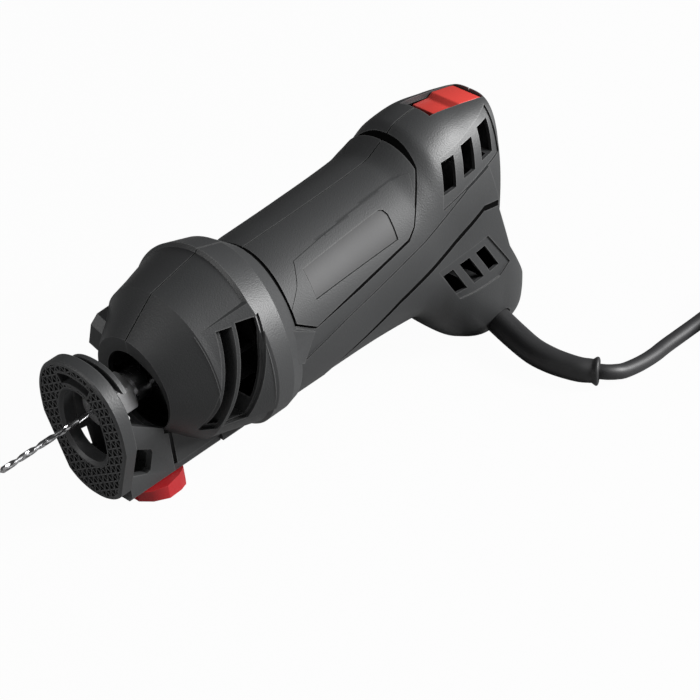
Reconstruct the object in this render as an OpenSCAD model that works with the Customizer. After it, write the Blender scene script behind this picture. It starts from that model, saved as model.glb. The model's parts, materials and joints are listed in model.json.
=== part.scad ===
// Drywall cut out tool: a hand held spiral saw, resting on its lock lever and tail, millimetres.
// The tool is built along its spindle (x, nose to tail) and then tipped nose down into its rest pose.

/* [Bit and collet] */
// Diameter of the spiral bit
bit_d = 3.2; // [2:0.1:5]
// Length of bit in front of the foot plate
bit_reach = 50; // [25:1:60]
// Across corners of the collet nut
nut_d = 23.5; // [19:0.5:26]
// Length of the collet nut
nut_l = 18; // [12:1:20]
// Outer diameter of the split collet
collet_d = 8; // [6.5:0.1:9]
// Pitch of the bit's flutes
flute_pitch = 18; // [12:1:30]

/* [Spindle] */
// Diameter of the spindle nose
spindle_nose_d = 13; // [11:0.5:15]
// Diameter of the lock flange
flange_d = 22; // [18:0.5:26]
// Diameter of the shaft through the motor
shaft_d = 10; // [8:0.5:12]
// Outer diameter of the front bearing
front_bearing_d = 26; // [22:1:32]
// Width of the front bearing
front_bearing_w = 8; // [6:0.5:10]
// Outer diameter of the rear bearing
rear_bearing_d = 22; // [18:1:26]
// Width of the rear bearing
rear_bearing_w = 7; // [5:0.5:9]
// Diameter of the rear journal
rear_journal_d = 8; // [6:0.5:9]

/* [Motor] */
// Room between the motor and the inside of the barrel
motor_gap = 2.2; // [1.5:0.1:3]
// Depth of the stator ring, from its outside to the air gap
stator_depth = 11; // [10:0.5:13]
// Length of the lamination stack
stack_l = 42; // [34:1:46]
// Air gap between armature and stator
air_gap = 0.6; // [0.4:0.1:1]
// Radius of the commutator
commutator_r = 12; // [9:0.5:14]
// Length of the commutator
commutator_l = 16; // [12:1:18]
// Radius of the cooling fan
fan_r = 31; // [26:0.5:36]
// Count of fan blades
fan_blades = 9; // [7:1:11]

/* [Housing] */
// Radius of the nose ring
nose_r = 26; // [24:0.5:28]
// Radius of the opening in the nose
nose_open_r = 18.5; // [16:0.5:21]
// Radius at the ridge between the cone and the shoulder
ridge_r = 42; // [40:0.5:44]
// Largest radius of the collar
collar_r = 50.5; // [49.5:0.5:53]
// Half width of the barrel
barrel_half_w = 38.5; // [37.5:0.5:41]
// Height of the barrel above the spindle, behind the collar
barrel_top = 34.5; // [33.5:0.5:37]
// Depth of the barrel below the spindle
barrel_drop = 51.5; // [49:0.5:54]
// Half width of the tail
tail_half_w = 35; // [33:0.5:38]
// Height of the tail above the spindle
tail_top = 52; // [50:0.5:55]
// Depth of the tail below the spindle
tail_drop = 96; // [92:0.5:102]
// Wall thickness of the shells
wall = 2.8; // [2:0.1:3.4]
// Thickness of the soft grip panels
grip_t = 1.2; // [0.8:0.1:2]
// Thickness of the bare label plate
label_t = 0.5; // [0.4:0.1:1]

/* [Foot and depth guide] */
// Half width of the foot plate
foot_half_w = 30.5; // [28:0.5:32]
// Thickness of the foot plate
foot_t = 8; // [6:0.5:9]
// Thickness of the guide rail
rail_t = 4; // [3:0.5:5]
// Travel of the depth guide
depth_travel = 20; // [8:1:22]
// Diameter of the clamp bolt
clamp_bolt_d = 6; // [5:0.5:8]
// Thickness of the lock lever at its front end
lever_t = 5.4; // [5:0.1:8]
// Gap around sliding pieces
slide_gap = 0.5; // [0.3:0.1:0.8]
// Running gap of a pin in its bore
run_gap = 0.05; // [0.02:0.01:0.08]

/* [Controls] */
// Travel of the slide switch
switch_travel = 6; // [3:0.5:7]
// Width of the slide switch
switch_w = 20; // [16:0.5:22]
// Travel of the shaft lock button
lock_travel = 4; // [2.5:0.5:4.5]
// Radius of the shaft lock button
lock_button_r = 8; // [6:0.5:9]
// Diameter of the shaft lock pin
lock_pin_d = 5; // [4:0.5:6]

/* [Cord] */
// Diameter of the mains cord
cord_d = 8.2; // [6:0.1:8.5]
// Radius of the strain relief at its root
relief_r = 7.5; // [6.5:0.1:8.5]

/* [Hidden] */
$fn = 64;
eps = 0.01;

dark = [0.16, 0.16, 0.165];
black = [0.07, 0.07, 0.07];
steel = [0.62, 0.63, 0.65];
red = [0.78, 0.1, 0.1];
copper = [0.72, 0.42, 0.2];
brass = [0.78, 0.62, 0.3];

// Places along the spindle
foot_x = -6;
foot_back_x = foot_x + foot_t;
nut_x = 3;
nut_turn = 47;
nut_back_x = nut_x + nut_l;
shoulder_x = nut_back_x + 3;
shoulder_l = 8;
flange_x = 41;
flange_l = 9;
front_bearing_x = 56;
front_lip = 3;
stack_x = 99;
stack_end_x = stack_x + stack_l;
fan_l = 12;
fan_x = stack_x - 27;
commutator_x = stack_end_x + 17;
carrier_t = 14;
carrier_x = commutator_x + (commutator_l - carrier_t) / 2;
brush_x = carrier_x + carrier_t / 2;
rear_bearing_x = 184;
rear_end_x = rear_bearing_x + rear_bearing_w;
nose_x = 28;
ridge_x = 48;
collar_x = 79.5;
groove_x = 104;
barrel_x = 107;
tail_x = 228;

// Rest pose: the floor touches the front of the lock lever and the lowest place of the tail
rail_top = -44.5;
rail_low = rail_top - rail_t;
lever_top = rail_low - slide_gap;
lever_front_x = 9;
tail_rest_x = 250;
rest_pitch = atan2(lever_top - lever_t + tail_drop, tail_rest_x - lever_front_x);
rest_height = (lever_t - lever_top - lever_front_x * tan(rest_pitch)) * cos(rest_pitch);

// Housing sections: place, top, bottom, half width, squareness, height of the widest place
shoulder_r = collar_r - 1.8;
collar_drop = collar_r + 2.5;
tail_low = -tail_drop - 1;
tail_tip_x = 275;
tail_tip_z = -tail_drop + 17;
stator_r = min(barrel_top, barrel_half_w - 4) - wall - motor_gap;
armature_r = stator_r - stator_depth - air_gap;
stations = [
  [nose_x, nose_r, -nose_r, nose_r, 2, 0],
  [ridge_x, ridge_r, -ridge_r, ridge_r, 2, 0],
  [collar_x - 1.5, shoulder_r, -shoulder_r, shoulder_r, 2, 0],
  [collar_x, collar_r, -collar_r, collar_r, 2, 0],
  [94, collar_r - 4.5, -collar_drop + 1, collar_r - 2.5, 2, -1],
  [groove_x, barrel_top + 3, -collar_drop, barrel_half_w + 3.5, 2, -4],
  [barrel_x, barrel_top, -barrel_drop, barrel_half_w + 1, 2, -6],
  [150, barrel_top + 1.5, -barrel_drop, barrel_half_w, 2.1, -6],
  [190, barrel_top + 4, -barrel_drop - 2.5, barrel_half_w - 0.5, 2.2, -6],
  [204, barrel_top + 10, -tail_drop + 35, tail_half_w + 2, 2.3, -5],
  [214, tail_top - 1.5, -tail_drop + 22, tail_half_w + 1, 2.4, -5],
  [tail_x, tail_top, -tail_drop + 8, tail_half_w, 2.5, -8],
  [248, tail_top - 3.5, tail_low, tail_half_w - 3, 2.7, -12],
  [258, tail_top - 6, tail_low, tail_half_w - 5.5, 3, -20],
  [268, tail_top - 8.5, -tail_drop + 1, tail_half_w - 10, 3.2, -30],
  [tail_tip_x + 2, tail_top - 14, tail_tip_z - 9, tail_half_w - 19, 2.6, -40]];
// Back of the tail seen from the side: a hollow for the hand between the switch and the cord
tail_back = [[268, 80], [268, 44], [260, 25], [250, -9], [256, -36], [tail_tip_x, tail_tip_z + 5],
  [tail_tip_x, tail_tip_z], [266, tail_tip_z - 13], [252, tail_low], [252, -140]];
barrel_stations = [for (i = [5:11]) stations[i]];
section_points = 32;

// Grip panel and label outlines, seen from the side: along the spindle and up
grip_outline = [[barrel_x + 2, 1], [barrel_x + 5, 0], [182, 12], [188, 16], [204, 37], [208, 80],
  [barrel_x + 2, 80]];
label_outline = [[118, 13], [176, 15.5], [177, 30], [120, 26]];
grip_limit_y = 0.3;

// Foot sections: top, bottom, half width, squareness and the widest place
foot_top = 31;
foot_low = -45.5;
foot_plane = [foot_x, foot_top, foot_low, foot_half_w, 2.05, -1];
foot_opening = [foot_x, 15, -25, 15, 2.3, -8];
lip_low = 15;
lip_gap = 4;
lip_t = 3;
rail_end_x = 62;
rail_half_w = 15;
guide_half_w = 18;
guide_wall_t = 4;
guide_wall_end_x = 30;
// Side walls of the guide, cut back under the nose ring, and the windows in them
guide_wall_low = rail_low + 3;
guide_end = [[foot_back_x, guide_wall_low], [guide_wall_end_x - 1.5, guide_wall_low],
  [guide_wall_end_x - 0.5, -27], [nose_x - 1.8, -25], [nose_x - 1.8, -17.3]];
near_wall = concat(guide_end, [[foot_back_x, -0.5]]);
far_wall = concat(guide_end, [[12, -8], [8, 9], [foot_back_x, 9]]);
near_window = [[4, -17], [9, -19.5], [18, -25], [18.6, -27], [15.5, -36], [13, -37], [4, -33]];
far_window = [[3, -18.3], [8, -18.5], [9.5, -33], [3.5, -31.7]];
keel_half = 16.5;
keel_front_x = 33;
bolt_x = 32;
keel_nose_x = bolt_x - 9;
keel_nose_half = 10;

// Lock lever under the rail
lever_hub_r = 9;
lever_bore_depth = 3.5;
lever_outline = [[40, -3], [39, -12], [36, -16], [31, -18.5], [22, -20.5], [14, -17.5],
  [lever_front_x, -12.5], [lever_front_x, -7], [24, 6], [32, 3]];

// Slide switch, in a frame that follows the sloping top of the tail
switch_slope = 11.3;
switch_x = 251;
switch_z = tail_top - 7.5;
switch_half_l = 15;
switch_low = -5.5;
switch_mid = -0.5;
switch_top = 2;
link_u = -4;
link_l = 6;
link_w = 5;
body_x = 228;
body_l = 22;
body_low = 12;
body_top = switch_z - 11.5;
body_half_w = 8;
rib_t = 3;

// Shaft lock button, pushed in towards the spindle
lock_x = flange_x + flange_l / 2;
lock_angle = 20;
lock_seat_r = 33;
lock_cap_top = 40.5;
lock_spring_h = 4.5;
lock_pocket_r = lock_seat_r - lock_travel - lock_spring_h - slide_gap;
lock_boss_top = 38;
// Outline of the block around the button, seen from its side of the nose
lock_boss = [[-12, -5], [-8.5, -10.5], [6, -11.5], [9, -9], [9, 11], [6, 14], [-8, 14], [-12, 9]];
lock_pin_tip = flange_d / 2 + 0.6;

// Screws that join the halves: along the spindle, height, place of the head
screw_spots = [[59, 27, 22], [59, -29, 22], [188, 24, 18], [188, -36, 18], [229, -tail_drop + 34, 16]];
screw_r = 2;
screw_head_r = 4;
screw_end_y = -10;

// Strain relief: where it leaves the tail, in the tool's frame
relief_x = 250;
relief_z = -tail_drop + 12.5;
relief_root_y = -6;
relief_out_y = -20;

// Cord route on the floor, in the part's own frame
relief_end_r = relief_r - 1.2;
relief_rim_r = relief_r + 0.3;
relief_low = relief_rim_r + 0.2;
cord_low = cord_d / 2 + 0.25;
relief_route = [[141.2, -38.2, relief_low + 3], [138.2, -54, relief_low + 1.6],
  [138.6, -65.7, relief_low + 0.8], [140.6, -74.6, relief_low + 0.3], [143.2, -82.2, relief_low + 0.1],
  [146.3, -86.6, relief_low], [149.3, -90.6, relief_low]];
cord_route = [[149.36, -90.68, relief_low], [151.7, -93.8, relief_low], [156.2, -96.2, relief_low - 0.6],
  [162.5, -96.9, relief_low - 1.8], [175.4, -96.2, cord_low + 0.6], [188, -94.6, cord_low + 0.1],
  [200.5, -92.2, cord_low], [233, -87.3, cord_low], [255, -83.2, cord_low], [267, -81.4, cord_low]];
coil_centre = [284, -138];
coil_outer_r = 57;
coil_pitch = cord_d + 0.5;
coil_turns = 4;
coil_layer = cord_d + 0.7;
coil_sides = 6;
coil_steps = 24;
coil_end_l = 8;
plug_lift = 13.4;
tie_w = 6;
tie_t = 1.5;
tie_gap = 0.25;
plug_size = [36, 22, 18];
blade_l = 17;

function sign_power(v, e) = sign(v) * pow(abs(v), e);

// Points of one section, grown by g all round
function section(s, g) = [for (i = [0:section_points - 1])
  let (t = 360 * i / section_points, c = cos(t), half = c >= 0 ? s[1] - s[5] + g : s[5] - s[2] + g)
  [s[0], (s[3] + g) * sign_power(sin(t), 2 / s[4]), s[5] + half * sign_power(c, 2 / s[4])]];

function flat_section(s, g) = [for (p = section(s, g)) [p[1], p[2]]];

// Faces between rings of n points, with a cap at each end
function ring_faces(rings, n) = concat(
  [for (k = [0:rings - 2], i = [0:n - 1]) [k * n + i, k * n + (i + 1) % n, (k + 1) * n + i]],
  [for (k = [0:rings - 2], i = [0:n - 1]) [k * n + (i + 1) % n, (k + 1) * n + (i + 1) % n, (k + 1) * n + i]],
  [[for (i = [n - 1:-1:0]) i]],
  [[for (i = [0:n - 1]) (rings - 1) * n + i]]);

module loft(list, g) {
  points = [for (s = list, p = section(s, g)) p];
  polyhedron(points, ring_faces(len(list), section_points), convexity = 6);
}

// Same sections with the end faces drawn in, for the hollow
hollow_stations = [for (i = [0:len(stations) - 1])
  let (s = stations[i], shift = i == 0 ? wall : 0)
  [s[0] + shift, s[1], s[2], s[3], s[4], s[5]]];

function unit(v) = v / norm(v);
function tangent(path, i) = unit(path[min(i + 1, len(path) - 1)] - path[max(i - 1, 0)]);

// A tube with its own radius at each point of the path
module tube(path, radii, sides) {
  points = [for (i = [0:len(path) - 1], k = [0:sides - 1])
    let (t = tangent(path, i), side = unit(cross(t, [0, 0, 1])), up = cross(side, t), a = 360 * k / sides)
    path[i] + radii[i] * (cos(a) * side + sin(a) * up)];
  polyhedron(points, ring_faces(len(path), sides), convexity = 8);
}

// Smooth curve through the chosen points
function blend(a, b, c, d, t) = 0.5 * (2 * b + (c - a) * t + (2 * a - 5 * b + 4 * c - d) * t * t
  + (3 * b - a - 3 * c + d) * t * t * t);
function smooth(p, n) = concat([for (i = [0:len(p) - 2], k = [0:n - 1])
  blend(p[max(i - 1, 0)], p[i], p[i + 1], p[min(i + 2, len(p) - 1)], k / n)], [p[len(p) - 1]]);

// Puts the tool's frame into the part's frame
bit_tip_x = foot_x - bit_reach;
rest_x = ((bit_d / 2 + tail_tip_z) * sin(rest_pitch) - (bit_tip_x + tail_tip_x) * cos(rest_pitch)) / 2;
module rest() {
  translate([rest_x, 0, rest_height])
    rotate([0, -rest_pitch, 0])
      children();
}

// Everything above the floor, in the tool's frame
module above_floor() {
  rotate([0, rest_pitch, 0])
    translate([-300, -200, -rest_height])
      cube([800, 400, 400]);
}

module along_x(x) {
  translate([x, 0, 0])
    rotate([0, 90, 0])
      children();
}

module disc(x0, x1, r) {
  along_x(x0)
    cylinder(h = x1 - x0, r = r);
}

// A block across the whole tool between two places along the spindle and two heights
module slab(x0, x1, low = -120, high = 80) {
  translate([x0, -80, low])
    cube([x1 - x0, 160, high - low]);
}

module side_prism(outline, y0, y1) {
  translate([0, y1, 0])
    rotate([90, 0, 0])
      linear_extrude(y1 - y0)
        polygon(outline);
}

// Frame of the slide switch
module switch_frame() {
  translate([switch_x, 0, switch_z])
    rotate([0, switch_slope, 0])
      children();
}

// Frame of the shaft lock: z points out of the nose
module lock_frame() {
  translate([lock_x, 0, 0])
    rotate([lock_angle - 90, 0, 0])
      children();
}

// Housing

module keel() {
  seat = rail_top + slide_gap;
  step_x = rail_end_x + slide_gap;
  side_prism([[keel_front_x, -18], [keel_front_x, seat], [step_x, seat], [step_x, rail_low], [76, rail_low],
    [92, seat], [96, -36], [80, -18]], -keel_half, keel_half);
  side_prism([[keel_nose_x, -36], [keel_nose_x, seat], [keel_front_x + 7, seat], [keel_front_x + 7, -26],
    [nose_x + 2, -24]], -keel_nose_half, keel_nose_half);
}

// Flat under the nose that the guide rail slides along
module rail_way() {
  half = rail_half_w + slide_gap;
  translate([0, -half, rail_top + slide_gap - 80])
    cube([rail_end_x + slide_gap, 2 * half, 80]);
}

vent_lean = 0.33;
nose_vent_y = 28;

// Slots beside the fan that lean with the collar: side, front and back at the spindle's height, bottom, top
module nose_vents() {
  for (v = [[-1, 50.5, 54.5, -20, 28], [-1, 56.9, 67.5, -20, 29], [1, 56.9, 67.5, -20, 16]])
    side_prism([for (p = [[1, 3], [2, 3], [2, 4], [1, 4]]) [v[p[0]] + vent_lean * v[p[1]], v[p[1]]]],
      v[0] > 0 ? nose_vent_y : -80, v[0] > 0 ? 80 : -nose_vent_y);
}

vent_in_y = 18;

// Slanted slots in both sides of the tail: three above, three in the lower lobe
module tail_vents() {
  for (side = [-1, 1], k = [0:2]) {
    y0 = side > 0 ? vent_in_y : -80;
    y1 = side > 0 ? 80 : -vent_in_y;
    translate([212 + 16 * k, 0, 20.5 + 1.2 * k])
      side_prism([[0, 0], [9.5, 0], [15, 14.5], [5.5, 14.5]], y0, y1);
    translate([203 + 12.5 * k, 0, -23])
      side_prism([[0, 0], [7.5, 0], [18, -18.5], [10.5, -18.5]], y0, y1);
  }
}

// Room in front of the tail's back, drawn in by a wall for the hollow
module before_back(inset) {
  translate([-inset, 0, 0])
    side_prism(concat([[0, -140], [0, 80]], tail_back), -80, 80);
}

module switch_cuts() {
  switch_frame() {
    translate([-switch_half_l - switch_travel - 2, -switch_w / 2 - slide_gap, switch_low - slide_gap])
      cube([2 * switch_half_l + switch_travel + 3, switch_w + 2 * slide_gap, 30]);
    translate([link_u - link_l / 2 - switch_travel - 1, -link_w / 2 - slide_gap, -30])
      cube([link_l + switch_travel + 2, link_w + 2 * slide_gap, 30]);
  }
}

// Ribs and bulkheads inside the shell
module bulkheads() {
  intersection() {
    loft(stations, -wall / 2);
    union() {
      slab(front_bearing_x - front_lip, front_bearing_x + front_bearing_w);
      slab(stack_x + 2, stack_x + 6);
      slab(stack_end_x - 6, stack_end_x - 2);
      slab(carrier_x + carrier_t, carrier_x + carrier_t + rib_t);
      slab(rear_bearing_x, rear_end_x + rib_t);
      slab(body_x - rib_t, body_x, body_low - 4, body_top - 2);
      slab(body_x + body_l, body_x + body_l + rib_t, body_low - 4, body_top - 2);
      slab(225, 233, -120, -42);
    }
  }
}

module bores() {
  disc(front_bearing_x, front_bearing_x + front_bearing_w + eps, front_bearing_d / 2);
  disc(nose_x, front_bearing_x + eps, spindle_nose_d / 2 + 2.5);
  disc(stack_x, stack_end_x, stator_r);
  disc(carrier_x + carrier_t - eps, carrier_x + carrier_t + rib_t + eps, stator_r - 4);
  disc(rear_bearing_x - eps, rear_end_x, rear_bearing_d / 2);
  disc(rear_end_x - eps, rear_end_x + rib_t + eps, rear_journal_d / 2 + 1);
  disc(nose_x - eps, nose_x + wall + 3, nose_open_r);
}

module screw_holes() {
  for (s = screw_spots)
    translate([s[0], screw_end_y, s[1]])
      rotate([-90, 0, 0]) {
        cylinder(h = 60, r = screw_r);
        translate([0, 0, s[2] - screw_end_y])
          cylinder(h = 60, r = screw_head_r);
      }
}

module shell() {
  intersection() {
    difference() {
      union() {
        difference() {
          union() {
            intersection() {
              loft(stations, 0);
              before_back(0);
            }
            keel();
          }
          intersection() {
            loft(hollow_stations, -wall);
            before_back(wall);
          }
        }
        bulkheads();
        lock_frame()
          translate([0, 0, lock_pocket_r - wall])
            linear_extrude(lock_boss_top - lock_pocket_r + wall)
              polygon(lock_boss);
      }
      bores();
      nose_vents();
      tail_vents();
      switch_cuts();
      screw_holes();
      lock_frame() {
        translate([0, 0, lock_pocket_r])
          cylinder(h = 40, r = lock_button_r + slide_gap);
        cylinder(h = 60, r = lock_pin_d / 2 + run_gap);
      }
      translate([relief_x, relief_root_y - 30, relief_z])
        rotate([-90, 0, 0])
          cylinder(h = 30, r = relief_r);
      translate([bolt_x, 0, -60])
        cylinder(h = 30, r = clamp_bolt_d / 2);
      rail_way();
    }
    above_floor();
  }
}

module half_space(side) {
  translate([-100, side > 0 ? 0 : -200, -200])
    cube([600, 200, 400]);
}

module left_housing() {
  color(dark)
    rest()
      intersection() {
        shell();
        half_space(-1);
      }
}

module right_housing() {
  color(dark)
    rest()
      intersection() {
        shell();
        half_space(1);
      }
}

// A skin on the housing between two growths of its sections, inside a side outline
module skin(outline, low, high, side) {
  intersection() {
    difference() {
      loft(barrel_stations, high);
      loft(barrel_stations, low);
    }
    side_prism(outline, side > 0 ? grip_limit_y : -80, side > 0 ? 80 : -grip_limit_y);
  }
}

module left_grip() {
  color(black)
    rest()
      difference() {
        skin(grip_outline, 0, grip_t, -1);
        side_prism(label_outline, -80, -grip_limit_y);
      }
}

module right_grip() {
  color(black)
    rest()
      skin(grip_outline, 0, grip_t, 1);
}

module label_plate() {
  color(steel)
    rest()
      skin(label_outline, 0, label_t, -1);
}

module housing_screws() {
  color(steel)
    rest()
      for (s = screw_spots)
        translate([s[0], screw_end_y, s[1]])
          rotate([-90, 0, 0]) {
            cylinder(h = s[2] - screw_end_y, r = screw_r);
            translate([0, 0, s[2] - screw_end_y])
              cylinder(h = 3, r = screw_head_r);
          }
}

// Motor pieces that stand still

module bearing(x, outer_d, bore_d, width) {
  difference() {
    disc(x, x + width, outer_d / 2);
    disc(x - 1, x + width + 1, bore_d / 2 + run_gap);
  }
}

module front_bearing() {
  color(steel)
    rest()
      bearing(front_bearing_x, front_bearing_d, shaft_d, front_bearing_w);
}

module rear_bearing() {
  color(steel)
    rest()
      bearing(rear_bearing_x, rear_bearing_d, rear_journal_d, rear_bearing_w);
}

coil_angle = 45;
coil_in_r = armature_r + air_gap + 2.5;
coil_out_r = stator_r - 3.5;
coil_w = 6;

module coil_side(grow) {
  for (a = [coil_angle:90:coil_angle + 270])
    rotate([a, 0, 0])
      translate([stack_x - 8, -coil_w / 2 - grow, coil_in_r - grow])
        cube([stack_l + 16, coil_w + 2 * grow, coil_out_r - coil_in_r + 2 * grow]);
}

module stator_core() {
  color(steel)
    rest()
      difference() {
        disc(stack_x, stack_end_x, stator_r);
        disc(stack_x - 1, stack_end_x + 1, armature_r + air_gap);
        coil_side(0);
      }
}

module coil_end(x) {
  for (a = [coil_angle, coil_angle + 180])
    along_x(x)
      rotate([0, 0, a - 90])
        rotate_extrude(angle = 90)
          translate([coil_in_r, 0])
            square([coil_out_r - coil_in_r, 8]);
}

module field_coils() {
  color(copper)
    rest() {
      coil_side(0);
      coil_end(stack_x - 8);
      coil_end(stack_end_x);
    }
}

brush_w = 7;
holder_w = 10;
holder_out = stator_r;

module brush_box(w, r0, r1) {
  for (side = [-1, 1])
    translate([brush_x - w / 2, side > 0 ? r0 : -r1, -w / 2])
      cube([w, r1 - r0, w]);
}

module brush_carrier() {
  color(black)
    rest()
      difference() {
        disc(carrier_x, carrier_x + carrier_t, stator_r + 1);
        disc(carrier_x - 1, carrier_x + carrier_t + 1, commutator_r + 1.5);
        brush_box(holder_w, 0, holder_out);
      }
}

module brush_holders() {
  color(brass)
    rest()
      difference() {
        brush_box(holder_w, commutator_r + 2.5, holder_out);
        brush_box(brush_w, 0, holder_out - 1);
      }
}

module carbon_brushes() {
  color(black)
    rest()
      difference() {
        brush_box(brush_w, commutator_r - 2, commutator_r + 11);
        disc(carrier_x - 1, carrier_x + carrier_t + 1, commutator_r + run_gap);
      }
}

module brush_springs() {
  color(steel)
    rest()
      for (side = [-1, 1])
        translate([brush_x, side > 0 ? commutator_r + 11 : -holder_out + 1, 0])
          rotate([-90, 0, 0])
            cylinder(h = holder_out - commutator_r - 12, r = 2.5);
}

module switch_body() {
  color(black)
    rest()
      translate([body_x, -body_half_w, body_low])
        cube([body_l, 2 * body_half_w, body_top - body_low]);
}

module cord_clamp() {
  color(black)
    rest()
      difference() {
        translate([relief_x - 12, relief_root_y, relief_z - 5])
          cube([18, 7, 24]);
        translate([relief_x - 8, relief_root_y - 1, relief_z + 13])
          rotate([-90, 0, 0])
            cylinder(h = 20, r = 1.5);
      }
}

module clamp_screws() {
  color(steel)
    rest()
      translate([relief_x - 8, relief_root_y, relief_z + 13])
        rotate([-90, 0, 0]) {
          cylinder(h = 7, r = 1.5);
          translate([0, 0, 7])
            cylinder(h = 2, r = 3);
        }
}

module clamp_bolt() {
  color(steel)
    rest()
      translate([bolt_x, 0, lever_top - lever_bore_depth + slide_gap])
        cylinder(h = rail_top - lever_top + lever_bore_depth + 9, r = clamp_bolt_d / 2);
}

// Spindle and what turns with it

module spindle_shaft() {
  color(steel)
    rest()
      difference() {
        union() {
          disc(nut_x + 5, flange_x, spindle_nose_d / 2);
          disc(shoulder_x, shoulder_x + shoulder_l, spindle_nose_d / 2 + 2);
          disc(flange_x, flange_x + flange_l, flange_d / 2);
          disc(flange_x + flange_l, front_bearing_x, spindle_nose_d / 2);
          disc(front_bearing_x, rear_bearing_x, shaft_d / 2);
          disc(rear_bearing_x, rear_end_x, rear_journal_d / 2);
        }
        disc(nut_x, nut_back_x, collet_d / 2);
        for (a = [0:90:270])
          translate([lock_x, 0, 0])
            rotate([a + lock_angle - 90, 0, 0])
              translate([0, 0, flange_d / 2 - lock_travel - 0.4])
                cylinder(h = 10, r = lock_pin_d / 2 + 0.2);
      }
}

slot_count = 12;

module armature_core() {
  color(steel)
    rest()
      difference() {
        disc(stack_x, stack_end_x, armature_r);
        disc(stack_x - 1, stack_end_x + 1, shaft_d / 2);
        for (k = [0:slot_count - 1])
          rotate([360 * k / slot_count, 0, 0])
            translate([stack_x - 1, -1.5, armature_r - 6])
              cube([stack_l + 2, 3, 8]);
      }
}

module armature_windings() {
  color(copper)
    rest() {
      for (x = [stack_x - 7, stack_end_x])
        difference() {
          disc(x, x + 7, armature_r - 1);
          disc(x - 1, x + 8, shaft_d / 2);
        }
      for (k = [0:slot_count - 1])
        rotate([360 * k / slot_count, 0, 0])
          translate([stack_x - 1, -1.5, armature_r - 6])
            cube([stack_l + 2, 3, 5]);
    }
}

module commutator() {
  color(copper)
    rest()
      difference() {
        disc(commutator_x, commutator_x + commutator_l, commutator_r);
        disc(commutator_x - 1, commutator_x + commutator_l + 1, shaft_d / 2);
      }
}

module fan() {
  color(black)
    rest()
      difference() {
        union() {
          disc(fan_x, fan_x + fan_l, shaft_d / 2 + 4);
          disc(fan_x + fan_l - 2, fan_x + fan_l, fan_r);
          for (k = [0:fan_blades - 1])
            rotate([360 * k / fan_blades, 0, 0])
              translate([fan_x, -1, shaft_d / 2 + 3])
                cube([fan_l, 2, fan_r - shaft_d / 2 - 5]);
        }
        disc(fan_x - 1, fan_x + fan_l + 1, shaft_d / 2);
      }
}

module collet() {
  color(steel)
    rest()
      difference() {
        disc(nut_x - 2, nut_back_x, collet_d / 2);
        disc(nut_x - 3, nut_back_x + 1, bit_d / 2);
        for (a = [0, 90])
          rotate([a, 0, 0])
            translate([nut_x - 3, -0.3, bit_d / 2 - 0.2])
              cube([12, 0.6, collet_d]);
      }
}

module collet_nut() {
  color(steel)
    rest()
      difference() {
        union() {
          along_x(nut_x + 4)
            rotate([0, 0, nut_turn])
              linear_extrude(nut_l - 4)
                circle(nut_d / 2, $fn = 6);
          disc(nut_x, nut_x + 4, nut_d / 2 - 2);
        }
        disc(nut_x - 1, nut_x + 6, collet_d / 2);
        disc(nut_x + 5, nut_back_x + 1, spindle_nose_d / 2);
      }
}

flute_l = bit_reach - 6;
flute_points = 12;
flute_slices = 36;

module spiral_bit() {
  color(steel)
    rest() {
      disc(bit_tip_x + flute_l, nut_back_x, bit_d / 2);
      along_x(bit_tip_x)
        linear_extrude(flute_l, twist = -360 * flute_l / flute_pitch, slices = flute_slices,
          $fn = flute_points)
          polygon([for (k = [0:flute_points - 1])
            let (a = 360 * k / flute_points, r = bit_d / 2 * (0.78 + 0.22 * cos(2 * a)))
            [r * cos(a), r * sin(a)]]);
    }
}

// Controls

module switch_slider() {
  color(red)
    rest()
      switch_frame()
        rotate([90, 0, 0])
          translate([0, 0, -switch_w / 2])
            linear_extrude(switch_w)
              polygon([[-switch_half_l, switch_low], [switch_half_l, switch_low],
                [switch_half_l, switch_top - 1], [switch_half_l - 3, switch_top - 0.5], [-1, switch_top],
                [-4, switch_mid], [-switch_half_l, switch_mid - 0.5]]);
}

module switch_link() {
  color(black)
    rest()
      intersection() {
        switch_frame()
          translate([link_u - link_l / 2, -link_w / 2, switch_low - 14])
            cube([link_l, link_w, 14]);
        translate([0, -50, body_top + slide_gap])
          cube([400, 100, 60]);
      }
}

module lock_button() {
  color(black)
    rest()
      lock_frame()
        translate([0, 0, lock_seat_r])
          cylinder(h = lock_cap_top - lock_seat_r, r = lock_button_r);
}

module lock_pin() {
  color(steel)
    rest()
      lock_frame()
        translate([0, 0, lock_pin_tip])
          cylinder(h = lock_seat_r - lock_pin_tip, r = lock_pin_d / 2);
}

module lock_spring() {
  color(steel)
    rest()
      lock_frame()
        translate([0, 0, lock_pocket_r])
          difference() {
            cylinder(h = lock_spring_h, r = lock_button_r - 1);
            translate([0, 0, -1])
              cylinder(h = lock_spring_h + 2, r = lock_button_r - 2.5);
          }
}

// Foot and depth guide

module foot_outline(x0, x1, s, g) {
  translate([x0, 0, 0])
    rotate([90, 0, 90])
      linear_extrude(x1 - x0)
        polygon(flat_section(s, g));
}

module foot_plate() {
  color(dark)
    rest()
      difference() {
        union() {
          foot_outline(foot_x, foot_back_x, foot_plane, 0);
          intersection() {
            union() {
              foot_outline(foot_back_x + lip_gap, foot_back_x + lip_gap + lip_t, foot_plane, -4);
              foot_outline(foot_back_x - eps, foot_back_x + lip_gap + eps, foot_plane, -6);
            }
            translate([-50, -80, lip_low])
              cube([100, 160, 80]);
          }
        }
        foot_outline(foot_x - 1, foot_back_x + 20, foot_opening, 0);
        difference() {
          foot_outline(foot_x - 1, foot_x + 3, foot_plane, -7);
          foot_outline(foot_x - 2, foot_x + 4, foot_plane, -11);
          translate([-50, -80, lip_low - 100])
            cube([100, 160, 100]);
        }
      }
}

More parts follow.
